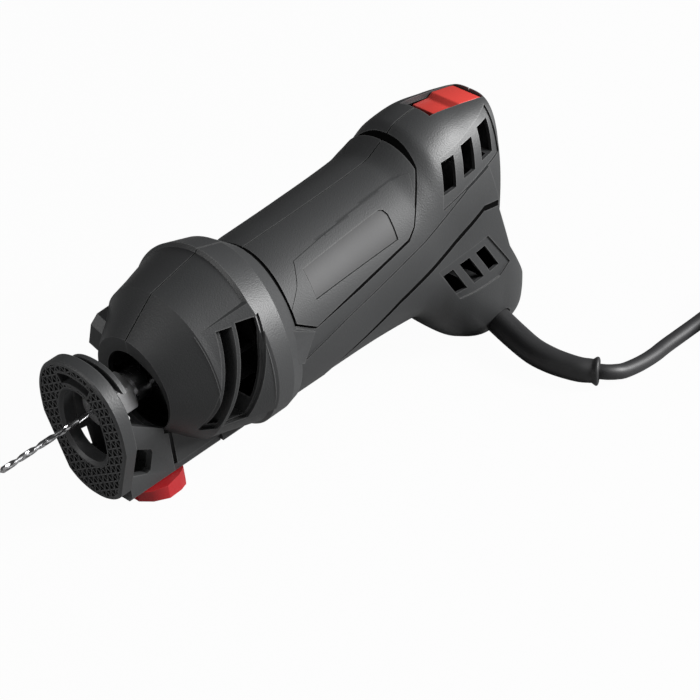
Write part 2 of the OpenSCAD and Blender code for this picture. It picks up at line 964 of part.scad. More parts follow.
module guide_rail() {
  color(dark)
    rest()
      difference() {
        union() {
          translate([foot_back_x, -rail_half_w, rail_low])
            cube([rail_end_x - foot_back_x, 2 * rail_half_w, rail_t]);
          for (side = [-1, 1])
            side_prism(side > 0 ? far_wall : near_wall,
              side > 0 ? guide_half_w - guide_wall_t : -guide_half_w,
              side > 0 ? guide_half_w : guide_wall_t - guide_half_w);
        }
        side_prism(near_window, -80, 0);
        side_prism(far_window, 0, 80);
        for (x = [0, depth_travel])
          translate([bolt_x + x, 0, rail_low - 1])
            cylinder(h = rail_t + 2, r = clamp_bolt_d / 2 + slide_gap);
        translate([bolt_x, -clamp_bolt_d / 2 - slide_gap, rail_low - 1])
          cube([depth_travel, clamp_bolt_d + 2 * slide_gap, rail_t + 2]);
      }
}

module lock_lever() {
  color(red)
    rest()
      difference() {
        intersection() {
          union() {
            translate([bolt_x, 0, lever_top - 20])
              cylinder(h = 20, r = lever_hub_r);
            translate([0, 0, lever_top - 20])
              linear_extrude(20)
                polygon(lever_outline);
          }
          above_floor();
        }
        translate([bolt_x, 0, lever_top - lever_bore_depth])
          cylinder(h = 10, r = clamp_bolt_d / 2 + run_gap);
      }
}

// Cord, gland and plug

relief_start = [rest_x + relief_x * cos(rest_pitch) - relief_z * sin(rest_pitch), relief_out_y,
  rest_height + relief_x * sin(rest_pitch) + relief_z * cos(rest_pitch)];
relief_path = smooth(concat([relief_start], relief_route), 4);
relief_steps = len(relief_path);
relief_radii = [for (i = [0:relief_steps - 1])
  i >= relief_steps - 2 ? relief_rim_r : relief_r + (relief_end_r - relief_r) * i / (relief_steps - 2)];

module strain_relief() {
  color(black) {
    tube(relief_path, relief_radii, 16);
    rest()
      translate([relief_x, relief_out_y, relief_z])
        rotate([-90, 0, 0])
          cylinder(h = relief_root_y - relief_out_y, r = relief_r);
  }
}

coil_start = [coil_centre[0], coil_centre[1] + coil_outer_r, cord_low];
cord_path = smooth(concat(cord_route, [coil_start - [coil_end_l, 0, 0]]), 4);

module cord_run() {
  color(black)
    tube(cord_path, [for (p = cord_path) cord_d / 2], 10);
}

// The coil: in along the low layer, out along the high one, then up and over to the plug
function coil_point(k) =
  let (turn = k / coil_steps, r = coil_outer_r - coil_pitch * min(turn, 2 * coil_turns - turn),
    climb = min(max((turn - coil_turns) * 2 + 0.5, 0), 1), a = 90 - 360 * turn)
  [coil_centre[0] + r * cos(a), coil_centre[1] + r * sin(a), cord_low + coil_layer * climb];
lead_steps = coil_steps / 2;
function lead_point(j) =
  let (t = j / lead_steps, a = 90 - 180 * t,
    r = coil_outer_r + coil_pitch * t / 2 - 16 * max(0, 2 * t - 1))
  [coil_centre[0] + r * cos(a), coil_centre[1] + r * sin(a),
    cord_low + coil_layer + plug_lift * min(1, 1.2 * t)];
coil_path = concat([coil_start - [coil_end_l, 0, 0]],
  [for (k = [0:2 * coil_turns * coil_steps]) coil_point(k)],
  [for (j = [1:lead_steps]) lead_point(j)], [lead_point(lead_steps) - [coil_end_l, 0, 0]]);

// Least gap of the coil to itself, between points more than half a turn apart
coil_gap = min([for (i = [0:len(coil_path) - 1], j = [i + coil_steps / 2:1:len(coil_path) - 1])
  norm(coil_path[i] - coil_path[j])]) - cord_d;
echo(coil_gap = coil_gap);

module cord_coil() {
  color(black)
    tube(coil_path, [for (p = coil_path) cord_d / 2], coil_sides);
}

// A strap over the wound part, three quarters of a turn after the coil's start
tie_turn = 0.75;
tie_inner = coil_outer_r - coil_pitch * (coil_turns - 1 + tie_turn) - cord_d / 2 - tie_gap;
tie_outer = coil_outer_r - coil_pitch * (1 - tie_turn) + cord_d / 2 + tie_gap;
tie_top = cord_low + coil_layer + cord_d / 2 * sin(360 / coil_sides) + tie_gap;

module coil_tie() {
  color(black)
    translate([coil_centre[0], coil_centre[1] - tie_w / 2, 0])
      difference() {
        translate([-tie_outer - tie_t, 0, 0])
          cube([tie_outer - tie_inner + 2 * tie_t, tie_w, tie_top + tie_t]);
        translate([-tie_outer, -1, -1])
          cube([tie_outer - tie_inner, tie_w + 2, tie_top + 1]);
      }
}

plug_end = coil_path[len(coil_path) - 1];
plug_before = coil_path[len(coil_path) - 2];
plug_dir = atan2(plug_end[1] - plug_before[1], plug_end[0] - plug_before[0]);

module plug_frame() {
  translate(plug_end)
    rotate([0, 0, plug_dir])
      children();
}

module plug_body() {
  color(black)
    plug_frame()
      translate([0, -plug_size[1] / 2, -plug_size[2] / 2])
        cube(plug_size);
}

module plug_blades() {
  color(brass)
    plug_frame()
      for (side = [-1, 1])
        translate([plug_size[0], side * 6.35 - 0.75, -3.2])
          cube([blade_l, 1.5, 6.4]);
}

left_housing();
right_housing();
left_grip();
right_grip();
label_plate();
housing_screws();
front_bearing();
rear_bearing();
stator_core();
field_coils();
brush_carrier();
brush_holders();
carbon_brushes();
brush_springs();
switch_body();
cord_clamp();
clamp_screws();
clamp_bolt();
spindle_shaft();
armature_core();
armature_windings();
commutator();
fan();
collet();
collet_nut();
spiral_bit();
switch_slider();
switch_link();
lock_button();
lock_pin();
lock_spring();
foot_plate();
guide_rail();
lock_lever();
strain_relief();
cord_run();
cord_coil();
coil_tie();
plug_body();
plug_blades();
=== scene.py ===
# %% [markdown]
# # A drywall cut out tool, dressed in Blender
# The solid model of this tool is made in a CAD program and packed with its joints. Here it gets its looks:
# rounded moulded shells, a waffled foot, real finishes and a lead. The CAD pieces come in as a fixed frame,
# in metres, and each new piece is built in place over the one that it stands for, so nothing needs fitting.

# %% Load the frame
import json
import math

import bmesh
import bpy
import numpy as np
from mathutils import Matrix, Vector


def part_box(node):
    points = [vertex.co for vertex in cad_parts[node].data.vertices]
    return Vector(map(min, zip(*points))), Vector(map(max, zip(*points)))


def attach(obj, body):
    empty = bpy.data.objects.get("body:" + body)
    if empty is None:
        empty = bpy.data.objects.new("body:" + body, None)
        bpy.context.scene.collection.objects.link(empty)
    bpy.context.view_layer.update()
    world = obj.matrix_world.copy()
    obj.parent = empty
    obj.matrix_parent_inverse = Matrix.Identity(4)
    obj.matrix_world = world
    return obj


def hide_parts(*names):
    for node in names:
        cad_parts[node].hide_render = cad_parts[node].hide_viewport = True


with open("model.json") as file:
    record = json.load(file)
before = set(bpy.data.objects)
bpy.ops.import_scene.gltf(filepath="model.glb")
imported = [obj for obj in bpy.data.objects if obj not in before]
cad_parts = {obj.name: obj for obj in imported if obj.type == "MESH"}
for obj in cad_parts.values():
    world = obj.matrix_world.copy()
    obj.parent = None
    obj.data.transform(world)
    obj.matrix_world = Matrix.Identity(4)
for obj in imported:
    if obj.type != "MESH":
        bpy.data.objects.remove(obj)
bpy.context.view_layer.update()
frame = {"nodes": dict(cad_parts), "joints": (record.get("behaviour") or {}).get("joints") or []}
joints = {joint["name"]: joint for joint in frame["joints"]}

# %% [markdown]
# The tool rests nose down on its lever and its tail, so its spindle is tipped. Shapes are easier to draw
# along the spindle, in millimetres, and are then turned into the frame by one matrix. The spindle's own
# joint gives the tilt and the place, so the looks follow the CAD model if it is packed again.

# %% From the tool's own axes to the frame
MM = 0.001
SPIN_X = 60.0
spin = joints["spindle_spin"]
pitch = math.atan2(spin["axis"][2], spin["axis"][0])
TOOL = (Matrix.Translation(spin["pos_m"]) @ Matrix.Rotation(-pitch, 4, "Y") @ Matrix.Scale(MM, 4)
        @ Matrix.Translation((-SPIN_X, 0, 0)))
FLAT = Matrix.Scale(MM, 4)
print("the spindle is tipped by", round(math.degrees(pitch), 2), "degrees")

# %% [markdown]
# The camera looks from the front left and from above, through a long lens, as product photographs do.
# It is set by the point it looks at and three angles: turn, height and a small roll of the horizon.

# %% Camera
AIM = Vector((-15.24, -75.3, 78.7)) * MM
DISTANCE, LENS, SENSOR = 1.5, 162, 36
turn, rise, roll = (math.radians(a) for a in (-134.126, 29.563, 0.291))
back = Vector((math.cos(rise) * math.cos(turn), math.cos(rise) * math.sin(turn), math.sin(rise)))
level = Vector((0, 0, 1)).cross(back).normalized()
right = level * math.cos(roll) + back.cross(level) * math.sin(roll)
axes = Matrix((right, back.cross(right), back)).transposed().to_4x4()
eye = bpy.data.cameras.new("camera")
eye.sensor_width = SENSOR
eye.lens = LENS
camera = bpy.data.objects.new("camera", eye)
camera.matrix_world = Matrix.Translation(AIM + back * DISTANCE) @ axes
bpy.context.scene.collection.objects.link(camera)
bpy.context.scene.camera = camera
print("camera at", [round(v, 3) for v in camera.matrix_world.translation])

# %% [markdown]
# A finish is a small network of nodes. Moulded plastic has a fine grain all over, a slow change of tone and
# edges painted a little lighter, which is a painted highlight. Each of those effects is a node group, made
# once and used in many finishes with other values. The groups give only masks and heights, and the shader
# itself stays in the material.

# %% A group for moulded grain
def new_group(name, inputs, outputs):
    group = bpy.data.node_groups.new(name, "ShaderNodeTree")
    for label, value in inputs:
        group.interface.new_socket(label, in_out="INPUT", socket_type="NodeSocketFloat").default_value = value
    for label in outputs:
        group.interface.new_socket(label, in_out="OUTPUT", socket_type="NodeSocketFloat")
    return group, group.nodes.new("NodeGroupInput"), group.nodes.new("NodeGroupOutput")


def add_math(tree, kind, first, second=None):
    node = tree.nodes.new("ShaderNodeMath")
    node.operation = kind
    for socket, value in zip(node.inputs, (first, second)):
        if isinstance(value, (int, float)):
            socket.default_value = value
        elif value is not None:
            tree.links.new(value, socket)
    return node.outputs[0]


def add_noise(tree, vector, scale, detail=2.0):
    node = tree.nodes.new("ShaderNodeTexNoise")
    node.inputs["Detail"].default_value = detail
    tree.links.new(vector, node.inputs["Vector"])
    if isinstance(scale, (int, float)):
        node.inputs["Scale"].default_value = scale
    else:
        tree.links.new(scale, node.inputs["Scale"])
    return node.outputs["Fac"]


GRAIN, given, out = new_group("moulded_grain", [("Grain", 1600.0), ("Cloud", 22.0)], ["Height", "Tone"])
place = GRAIN.nodes.new("ShaderNodeTexCoord").outputs["Object"]
pits = GRAIN.nodes.new("ShaderNodeTexVoronoi")
pits.feature = "SMOOTH_F1"
GRAIN.links.new(place, pits.inputs["Vector"])
GRAIN.links.new(given.outputs["Grain"], pits.inputs["Scale"])
speckle = add_noise(GRAIN, place, given.outputs["Grain"], 3.0)
GRAIN.links.new(add_math(GRAIN, "ADD", pits.outputs["Distance"], speckle), out.inputs["Height"])
GRAIN.links.new(add_noise(GRAIN, place, given.outputs["Cloud"], 4.0), out.inputs["Tone"])
print("group", GRAIN.name, "has", len(GRAIN.nodes), "nodes")

# %% A group for painted edge highlights
EDGE_GLINT, given, out = new_group("painted_edge_highlight", [("Width", 0.0009), ("Gain", 3.0)], ["Edge"])
# The mask is strong on sharp edges, where a lighter colour is mixed in as a painted highlight
rounded = EDGE_GLINT.nodes.new("ShaderNodeBevel")
rounded.samples = 4
EDGE_GLINT.links.new(given.outputs["Width"], rounded.inputs["Radius"])
facing = EDGE_GLINT.nodes.new("ShaderNodeVectorMath")
facing.operation = "DOT_PRODUCT"
EDGE_GLINT.links.new(rounded.outputs["Normal"], facing.inputs[0])
EDGE_GLINT.links.new(EDGE_GLINT.nodes.new("ShaderNodeNewGeometry").outputs["Normal"], facing.inputs[1])
bend = add_math(EDGE_GLINT, "SUBTRACT", 1.0, facing.outputs["Value"])
strong = add_math(EDGE_GLINT, "MULTIPLY", bend, given.outputs["Gain"])
EDGE_GLINT.links.new(add_math(EDGE_GLINT, "MINIMUM", strong, 1.0), out.inputs["Edge"])
print("group", EDGE_GLINT.name, "has", len(EDGE_GLINT.nodes), "nodes")

# %% [markdown]
# The tool has fourteen finishes. Nine are moulded ones, which differ in colour, in how rough they are and in
# how coarse their grain is, so one function makes them all from a table of those values. Eight are plastics
# and rubbers, with the red plastic twice, in a lit and a shaded tone, which is painted light; the ninth is a
# near-black painted shade for the grooves.

# %% Plastic and rubber finishes, with painted light and shade among them
def use_group(tree, group, **values):
    node = tree.nodes.new("ShaderNodeGroup")
    node.node_tree = group
    for label, value in values.items():
        node.inputs[label].default_value = value
    return node


def add_mix(tree, factor, low, high):
    node = tree.nodes.new("ShaderNodeMix")
    node.data_type = "RGBA"
    tree.links.new(factor, node.inputs["Factor"])
    for socket, colour in zip((node.inputs[6], node.inputs[7]), (low, high)):
        if isinstance(colour, bpy.types.NodeSocket):
            tree.links.new(colour, socket)
        else:
            socket.default_value = (*colour, 1)
    return node.outputs[2]


def add_range(tree, value, low, high):
    node = tree.nodes.new("ShaderNodeMapRange")
    tree.links.new(value, node.inputs["Value"])
    node.inputs["To Min"].default_value = low
    node.inputs["To Max"].default_value = high
    return node.outputs["Result"]


def add_bump(tree, height, strength, depth, shader):
    node = tree.nodes.new("ShaderNodeBump")
    node.inputs["Strength"].default_value = strength
    node.inputs["Distance"].default_value = depth
    tree.links.new(height, node.inputs["Height"])
    tree.links.new(node.outputs["Normal"], shader.inputs["Normal"])


def new_finish(name):
    finish = bpy.data.materials.new(name)
    finish.use_nodes = True
    return finish, finish.node_tree, finish.node_tree.nodes["Principled BSDF"]


ROUGH_SPREAD = 0.06
GRAIN_DEPTH = 0.0001


def moulded(name, low, high, glint, rough, grain=1400.0, bump=0.55, shine=0.5):
    finish, tree, shader = new_finish(name)
    skin = use_group(tree, GRAIN, Grain=grain)
    edge = use_group(tree, EDGE_GLINT, Gain=3.0)
    tone = skin.outputs["Tone"]
    colour = add_mix(tree, tone, low, high)
    # Edges are mixed towards the lighter glint colour, which is a painted highlight
    tree.links.new(add_mix(tree, edge.outputs["Edge"], colour, glint), shader.inputs["Base Color"])
    gloss = add_range(tree, tone, rough - ROUGH_SPREAD, rough + ROUGH_SPREAD)
    tree.links.new(gloss, shader.inputs["Roughness"])
    add_bump(tree, skin.outputs["Height"], bump, GRAIN_DEPTH, shader)
    shader.inputs["Specular IOR Level"].default_value = shine
    return finish


def grey(tone):
    return (tone, tone, tone)


# Darker tone, lighter tone, painted edge highlight, roughness; then grain, bump and shine where they differ
MOULDED = {
    "shell_plastic": ((0.030, 0.031, 0.032), (0.042, 0.043, 0.044), grey(0.11), 0.46),
    "soft_grip": ((0.029, 0.030, 0.031), (0.039, 0.040, 0.041), grey(0.08), 0.58, 1700.0),
    "label": ((0.018, 0.018, 0.019), (0.024, 0.024, 0.025), grey(0.05), 0.55, 900.0, 0.08),
    # The lever's red: the same red plastic as the slider's, painted darker as shade because the lever faces
    # down
    "red_plastic": ((0.34, 0.011, 0.014), (0.40, 0.014, 0.018), (0.48, 0.03, 0.03), 0.40, 1800.0, 0.2),
    "black_plastic": ((0.014, 0.014, 0.015), (0.022, 0.022, 0.023), grey(0.06), 0.5),
    # The slider's red: the same red plastic, painted lighter because the slider faces up into the light
    "red_lit": ((0.50, 0.040, 0.032), (0.58, 0.050, 0.040), (0.66, 0.08, 0.07), 0.42, 1800.0, 0.2),
    # The next finish is painted shade: near black, for the strips laid in the grooves to darken them
    "groove_shade": (grey(0.002), grey(0.003), grey(0.004), 0.8, 1400.0, 0.55, 0.02),
    "carbon": ((0.012, 0.012, 0.013), grey(0.03), grey(0.06), 0.62, 700.0, 0.5),
    "cord_rubber": ((0.016, 0.016, 0.017), (0.024, 0.024, 0.025), grey(0.05), 0.5, 1200.0, 0.2),
}
FINISH = {name: moulded(name, *values) for name, values in MOULDED.items()}
print("moulded finishes:", sorted(FINISH))

# %% [markdown]
# Metal is bright and takes its colour from what it mirrors. Turned and ground steel carries fine lines, which
# are a noise that is stretched along one direction, and sheet iron and wound wire show as even bands.

# %% Metal finishes
LINE_DEPTH = 0.00005


def metal(name, low, high, rough, stretch, lines, bump=0.15):
    finish, tree, shader = new_finish(name)
    shader.inputs["Metallic"].default_value = 1.0
    place = tree.nodes.new("ShaderNodeTexCoord").outputs["Object"]
    mapping = tree.nodes.new("ShaderNodeMapping")
    mapping.inputs["Rotation"].default_value = (0, pitch, 0)
    mapping.inputs["Scale"].default_value = stretch
    tree.links.new(place, mapping.inputs["Vector"])
    streak = add_noise(tree, mapping.outputs["Vector"], lines, 3.0)
    # Edges are mixed towards the lighter tone, which is a painted highlight
    edge = use_group(tree, EDGE_GLINT, Gain=2.0)
    colour = add_mix(tree, streak, low, high)
    tree.links.new(add_mix(tree, edge.outputs["Edge"], colour, high), shader.inputs["Base Color"])
    tree.links.new(add_range(tree, streak, rough - 0.06, rough + 0.08), shader.inputs["Roughness"])
    add_bump(tree, streak, bump, LINE_DEPTH, shader)
    return finish


ALONG, ACROSS, LAYERED = (1, 12, 12), (14, 1, 1), (60, 1, 1)
# Darker tone, lighter tone, roughness, stretch and number of the lines; then bump where it differs
METALS = {
    "steel": ((0.42, 0.42, 0.43), (0.62, 0.62, 0.63), 0.24, ACROSS, 160.0),
    "nut_chrome": ((0.50, 0.50, 0.505), (0.66, 0.66, 0.665), 0.36, ALONG, 220.0),
    "laminated_iron": ((0.22, 0.22, 0.23), (0.42, 0.42, 0.43), 0.4, LAYERED, 30.0, 0.5),
    "copper": ((0.55, 0.22, 0.10), (0.78, 0.38, 0.20), 0.3, ALONG, 90.0, 0.5),
    "brass": ((0.62, 0.44, 0.16), (0.78, 0.60, 0.28), 0.26, ALONG, 140.0),
}
FINISH.update({name: metal(name, *values) for name, values in METALS.items()})
print("all finishes:", len(FINISH))

# %% [markdown]
# The studio is white: a floor, a world and three large soft lamps. The floor and the world are seen by the
# camera as plain white, and the floor still takes a faint shadow, so the tool stands on something.

# %% Studio
WHITE = (1, 1, 1, 1)
WORLD_LIGHT, PAPER_TONE, PAPER_GLOW = 0.08, 0.25, 0.97
FLOOR_HALF, FLOOR_Z = 6, -0.0005

scene = bpy.context.scene
scene.view_settings.view_transform = "Standard"
world = bpy.data.worlds.new("studio")
scene.world = world
world.use_nodes = True
wt = world.node_tree
lit = wt.nodes["Background"]
lit.inputs["Color"].default_value = WHITE
lit.inputs["Strength"].default_value = WORLD_LIGHT
seen = wt.nodes.new("ShaderNodeBackground")
seen.inputs["Color"].default_value = WHITE
path = wt.nodes.new("ShaderNodeLightPath")
choose = wt.nodes.new("ShaderNodeMixShader")
wt.links.new(path.outputs["Is Camera Ray"], choose.inputs[0])
wt.links.new(lit.outputs[0], choose.inputs[1])
wt.links.new(seen.outputs[0], choose.inputs[2])
wt.links.new(choose.outputs[0], wt.nodes["World Output"].inputs["Surface"])

floor_mesh = bpy.data.meshes.new("floor")
floor_corners = [(x * FLOOR_HALF, y * FLOOR_HALF, 0) for x, y in ((-1, -1), (1, -1), (1, 1), (-1, 1))]
floor_mesh.from_pydata(floor_corners, [], [(0, 1, 2, 3)])
floor = bpy.data.objects.new("floor", floor_mesh)
floor.location.z = FLOOR_Z
scene.collection.objects.link(floor)
paper, tree, shader = new_finish("floor_paper")
shader.inputs["Base Color"].default_value = (*grey(PAPER_TONE), 1)
shader.inputs["Roughness"].default_value = 0.9
glow = tree.nodes.new("ShaderNodeEmission")
glow.inputs["Color"].default_value = WHITE
path = tree.nodes.new("ShaderNodeLightPath")
share = add_math(tree, "MULTIPLY", path.outputs["Is Camera Ray"], PAPER_GLOW)
choose = tree.nodes.new("ShaderNodeMixShader")
tree.links.new(share, choose.inputs[0])
tree.links.new(shader.outputs[0], choose.inputs[1])
tree.links.new(glow.outputs[0], choose.inputs[2])
tree.links.new(choose.outputs[0], tree.nodes["Material Output"].inputs["Surface"])
floor_mesh.materials.append(paper)


def add_lamp(name, spot, target, size, power):
    lamp = bpy.data.lights.new(name, "AREA")
    lamp.size = size
    lamp.energy = power
    obj = bpy.data.objects.new(name, lamp)
    obj.location = spot
    obj.rotation_euler = (Vector(target) - Vector(spot)).to_track_quat("-Z", "Y").to_euler()
    scene.collection.objects.link(obj)


add_lamp("key_lamp", (1.15, -1.15, 1.05), (0, 0, 0.05), size=0.8, power=72)
add_lamp("rim_lamp", (-1.3, 0.4, 0.45), (-0.1, 0, 0.05), size=0.8, power=7)
add_lamp("top_lamp", (-0.2, -0.7, 1.5), (0, 0, 0.05), size=1.0, power=2.5)

# %% [markdown]
# The lead is the one free cord: it leaves the strain relief, runs along the floor and ends as a tied coil
# with the plug on top, as such tools are put away. A curve with a round bevel is the natural tool for a cord,
# because its line is its length. The route's points are the CAD model's own.

# %% Route of the lead
def smooth_path(points, steps):
    points = [Vector(p) for p in points]
    made = []
    for i in range(len(points) - 1):
        a, b, c, d = points[max(i - 1, 0)], points[i], points[i + 1], points[min(i + 2, len(points) - 1)]
        for k in range(steps):
            t = k / steps
            made.append(0.5 * (2 * b + (c - a) * t + (2 * a - 5 * b + 4 * c - d) * t * t
                               + (3 * b - a - 3 * c + d) * t * t * t))
    return made + [points[-1]]


CORD_D = 8.2
LOW = CORD_D / 2 + 0.25
RELIEF_LOW = 8.0
COIL_X, COIL_Y, COIL_R = 284.0, -138.0, 57.0
COIL_PITCH, COIL_LAYER, COIL_TURNS, PLUG_LIFT = CORD_D + 0.5, CORD_D + 0.7, 4, 13.4
TURN_STEPS, LEAD_STEPS, BEND_STEPS = 48, 24, 8


def coil_point(turn):
    """A point of the flat coil, which winds inward on the floor and outward on top of itself."""
    r = COIL_R - COIL_PITCH * min(turn, 2 * COIL_TURNS - turn)
    climb = min(max((turn - COIL_TURNS) * 2 + 0.5, 0), 1)
    a = math.radians(90 - 360 * turn)
    return Vector((COIL_X + r * math.cos(a), COIL_Y + r * math.sin(a), LOW + COIL_LAYER * climb))


def lead_point(t):
    """A point of the last half turn, which climbs to the plug on top of the coil."""
    a = math.radians(90 - 180 * t)
    r = COIL_R + COIL_PITCH * t / 2 - 16 * max(0, 2 * t - 1)
    z = LOW + COIL_LAYER + PLUG_LIFT * min(1, 1.2 * t)
    return Vector((COIL_X + r * math.cos(a), COIL_Y + r * math.sin(a), z))


run = smooth_path([(149.36, -90.68, RELIEF_LOW), (151.7, -93.8, RELIEF_LOW), (156.2, -96.2, RELIEF_LOW - 0.6),
                   (162.5, -96.9, RELIEF_LOW - 1.8), (175.4, -96.2, LOW + 0.6), (188, -94.6, LOW + 0.1),
                   (200.5, -92.2, LOW), (233, -87.3, LOW), (255, -83.2, LOW), (267, -81.4, LOW),
                   (COIL_X - 8, COIL_Y + COIL_R, LOW)], BEND_STEPS)
coil = [coil_point(k / TURN_STEPS) for k in range(2 * COIL_TURNS * TURN_STEPS + 1)]
lead = [lead_point(k / LEAD_STEPS) for k in range(1, LEAD_STEPS + 1)]
plug_end = lead[-1] - Vector((8, 0, 0))
route = [p * MM for p in run + coil + lead + [plug_end]]

# %% The lead as a curve
line = bpy.data.curves.new("mains_lead", "CURVE")
line.dimensions = "3D"
spline = line.splines.new("POLY")
spline.points.add(len(route) - 1)
spline.points.foreach_set("co", [v for p in route for v in (*p, 1.0)])
spline.use_smooth = True
line.bevel_depth = CORD_D / 2 * MM
line.bevel_resolution = 5
line.use_fill_caps = True
line.materials.append(FINISH["cord_rubber"])
mains_lead = bpy.data.objects.new("mains_lead", line)
scene.collection.objects.link(mains_lead)
print("points on the lead:", len(route))

# %% [markdown]
# Most other pieces are solids that are cut from one another, as a mould maker cuts them. A few helpers do
# that: one makes a closed solid from rings, two extrude an outline, and one cuts or joins two solids with a
# Boolean modifier. Millimetres keep the numbers readable and the Booleans exact. A last helper turns the
# solid into the frame, shades it and gives it to its body.

# %% Helpers for solids
def add_object(name, mesh):
    obj = bpy.data.objects.new(name, mesh)
    scene.collection.objects.link(obj)
    return obj


def solid(name, points, faces):
    mesh = bpy.data.meshes.new(name)
    mesh.from_pydata([tuple(p) for p in points], [], faces)
    bm = bmesh.new()
    bm.from_mesh(mesh)
    bmesh.ops.recalc_face_normals(bm, faces=bm.faces)
    bm.to_mesh(mesh)
    bm.free()
    return add_object(name, mesh)


def ring_solid(name, rings):
    rings = np.asarray(rings, float)
    count, n = rings.shape[:2]
    faces = [(k * n + i, k * n + (i + 1) % n, (k + 1) * n + (i + 1) % n, (k + 1) * n + i)
             for k in range(count - 1) for i in range(n)]
    faces.append(tuple(range(n - 1, -1, -1)))
    faces.append(tuple((count - 1) * n + i for i in range(n)))
    return solid(name, rings.reshape(-1, 3), faces)


def block(name, outline, low, high, axis):
    """An outline in the other two axes, extruded along one axis (0 along the spindle, 1 across, 2 up)."""
    rings = [[[*p[:axis], w, *p[axis:]] for p in outline] for w in (low, high)]
    return ring_solid(name, rings)


REACH = 80


def side_block(name, outline, low=-REACH, high=REACH):
    """An outline seen from the side, extruded across the tool, through all of it if no limits are given."""
    return block(name, outline, low, high, 1)


def rect(x0, z0, x1, z1):
    return [(x0, z0), (x1, z0), (x1, z1), (x0, z1)]


def angles(count):
    return np.linspace(0, 2 * math.pi, count, endpoint=False)


def turned(name, profile, sides=64):
    """A solid of revolution about the spindle from (place, radius) pairs."""
    a = angles(sides)
    return ring_solid(name, [np.stack([np.full(sides, x), r * np.sin(a), r * np.cos(a)], 1)
                             for x, r in profile])


def drop(obj):
    mesh = obj.data
    bpy.data.objects.remove(obj)
    bpy.data.meshes.remove(mesh)


def settle(obj):
    """Applies an object's modifiers to its mesh."""
    made = bpy.data.meshes.new_from_object(obj.evaluated_get(bpy.context.evaluated_depsgraph_get()))
    old = obj.data
    obj.modifiers.clear()
    obj.data = made
    bpy.data.meshes.remove(old)
    return obj


def carve(target, cutter, how="DIFFERENCE", keep=False):
    """Cuts one solid with another, or joins them, and drops the second one."""
    step = target.modifiers.new("carve", "BOOLEAN")
    step.object = cutter
    step.operation = how
    step.solver = "MANIFOLD"
    settle(target)
    if not keep:
        drop(cutter)
    return target


def copy_of(obj, name):
    return add_object(name, obj.data.copy())


MERGE_MM, FLAT_RAD, EDGE_DEG = 1e-4, 0.02, 30


def soften(obj, width, segments=2):
    """Clears the cuts' extra edges on flat faces and rounds the sharp ones."""
    bm = bmesh.new()
    bm.from_mesh(obj.data)
    bmesh.ops.remove_doubles(bm, verts=bm.verts, dist=MERGE_MM)
    bmesh.ops.dissolve_limit(bm, angle_limit=FLAT_RAD, verts=bm.verts, edges=bm.edges)
    bm.to_mesh(obj.data)
    bm.free()
    step = obj.modifiers.new("soften", "BEVEL")
    step.width = width
    step.segments = segments
    step.limit_method = "ANGLE"
    step.angle_limit = math.radians(EDGE_DEG)
    return settle(obj)


def give(obj, body, finish, nodes=(), matrix=TOOL, sharp=32):
    """Turns a solid into the frame, shades it and hands it to its body, in place of the nodes named."""
    mesh = obj.data
    mesh.transform(matrix)
    mesh.polygons.foreach_set("use_smooth", [True] * len(mesh.polygons))
    mesh.set_sharp_from_angle(angle=math.radians(sharp))
    mesh.materials.clear()
    mesh.materials.append(FINISH[finish])
    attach(obj, body)
    if nodes:
        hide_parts(*nodes)
    print(obj.name, "has", len(mesh.polygons), "faces")
    return obj


print("cutters reach", REACH, "mm to each side")

# %% [markdown]
# The housing is one flowing form from the round nose over a wide collar and a slimmer barrel to a flat-sided
# tail. It is a loft: sections at chosen places, each a superellipse, which is a circle whose corners can be
# made squarer. Straight lines join the sections of the nose, as its facets do, and a smooth curve joins those
# of the barrel and tail. The collar's edges sweep forward on the sides, as on the real tool.

# %% Sections of the housing
# Place, top, bottom, half width, squareness, height of the widest line
STATIONS = np.array([
    (28, 26, -26, 26, 2, 0), (48, 42, -42, 42, 2, 0), (78, 48.7, -48.7, 48.7, 2, 0),
    (79.5, 50.5, -50.5, 50.5, 2, 0), (94, 46, -52, 48, 2, -1), (104, 37.5, -53, 42, 2, -4),
    (107, 34.5, -51.5, 39.5, 2, -6), (150, 36, -51.5, 38.5, 2.1, -6), (190, 38.5, -54, 38, 2.2, -6),
    (204, 44.5, -61, 37, 2.3, -5), (214, 50.5, -74, 36, 2.4, -5), (228, 52, -88, 35, 2.5, -8),
    (248, 48.5, -97, 32, 2.7, -12), (258, 46, -97, 29.5, 3, -20), (268, 43.5, -95, 25, 3.2, -30),
    (277, 38, -88, 16, 2.6, -40)])
BARREL_X = 107.0
NOSE_STEP, BARREL_STEP = 1.25, 1.7
WALL = 2.8
AROUND = 168
SWEEP = 5.5


def smooth_between(xs, ys, x):
    """A cubic through the given values that never overshoots them."""
    h = np.diff(xs)
    slope = np.diff(ys) / h
    lean = np.concatenate([slope[:1], np.zeros(len(xs) - 2), slope[-1:]])
    same = slope[:-1] * slope[1:] > 0
    lean[1:-1][same] = 2 / (1 / slope[:-1][same] + 1 / slope[1:][same])
    i = min(max(int(np.searchsorted(xs, x)) - 1, 0), len(xs) - 2)
    t = (x - xs[i]) / h[i]
    return ((1 + 2 * t) * (1 - t) ** 2 * ys[i] + t * (1 - t) ** 2 * h[i] * lean[i]
            + t * t * (3 - 2 * t) * ys[i + 1] + t * t * (t - 1) * h[i] * lean[i + 1])


def section_at(x):
    if x <= BARREL_X:
        return [np.interp(x, STATIONS[:, 0], STATIONS[:, k]) for k in range(1, 6)]
    rear = STATIONS[STATIONS[:, 0] >= BARREL_X]
    return [smooth_between(rear[:, 0], rear[:, k], x) for k in range(1, 6)]


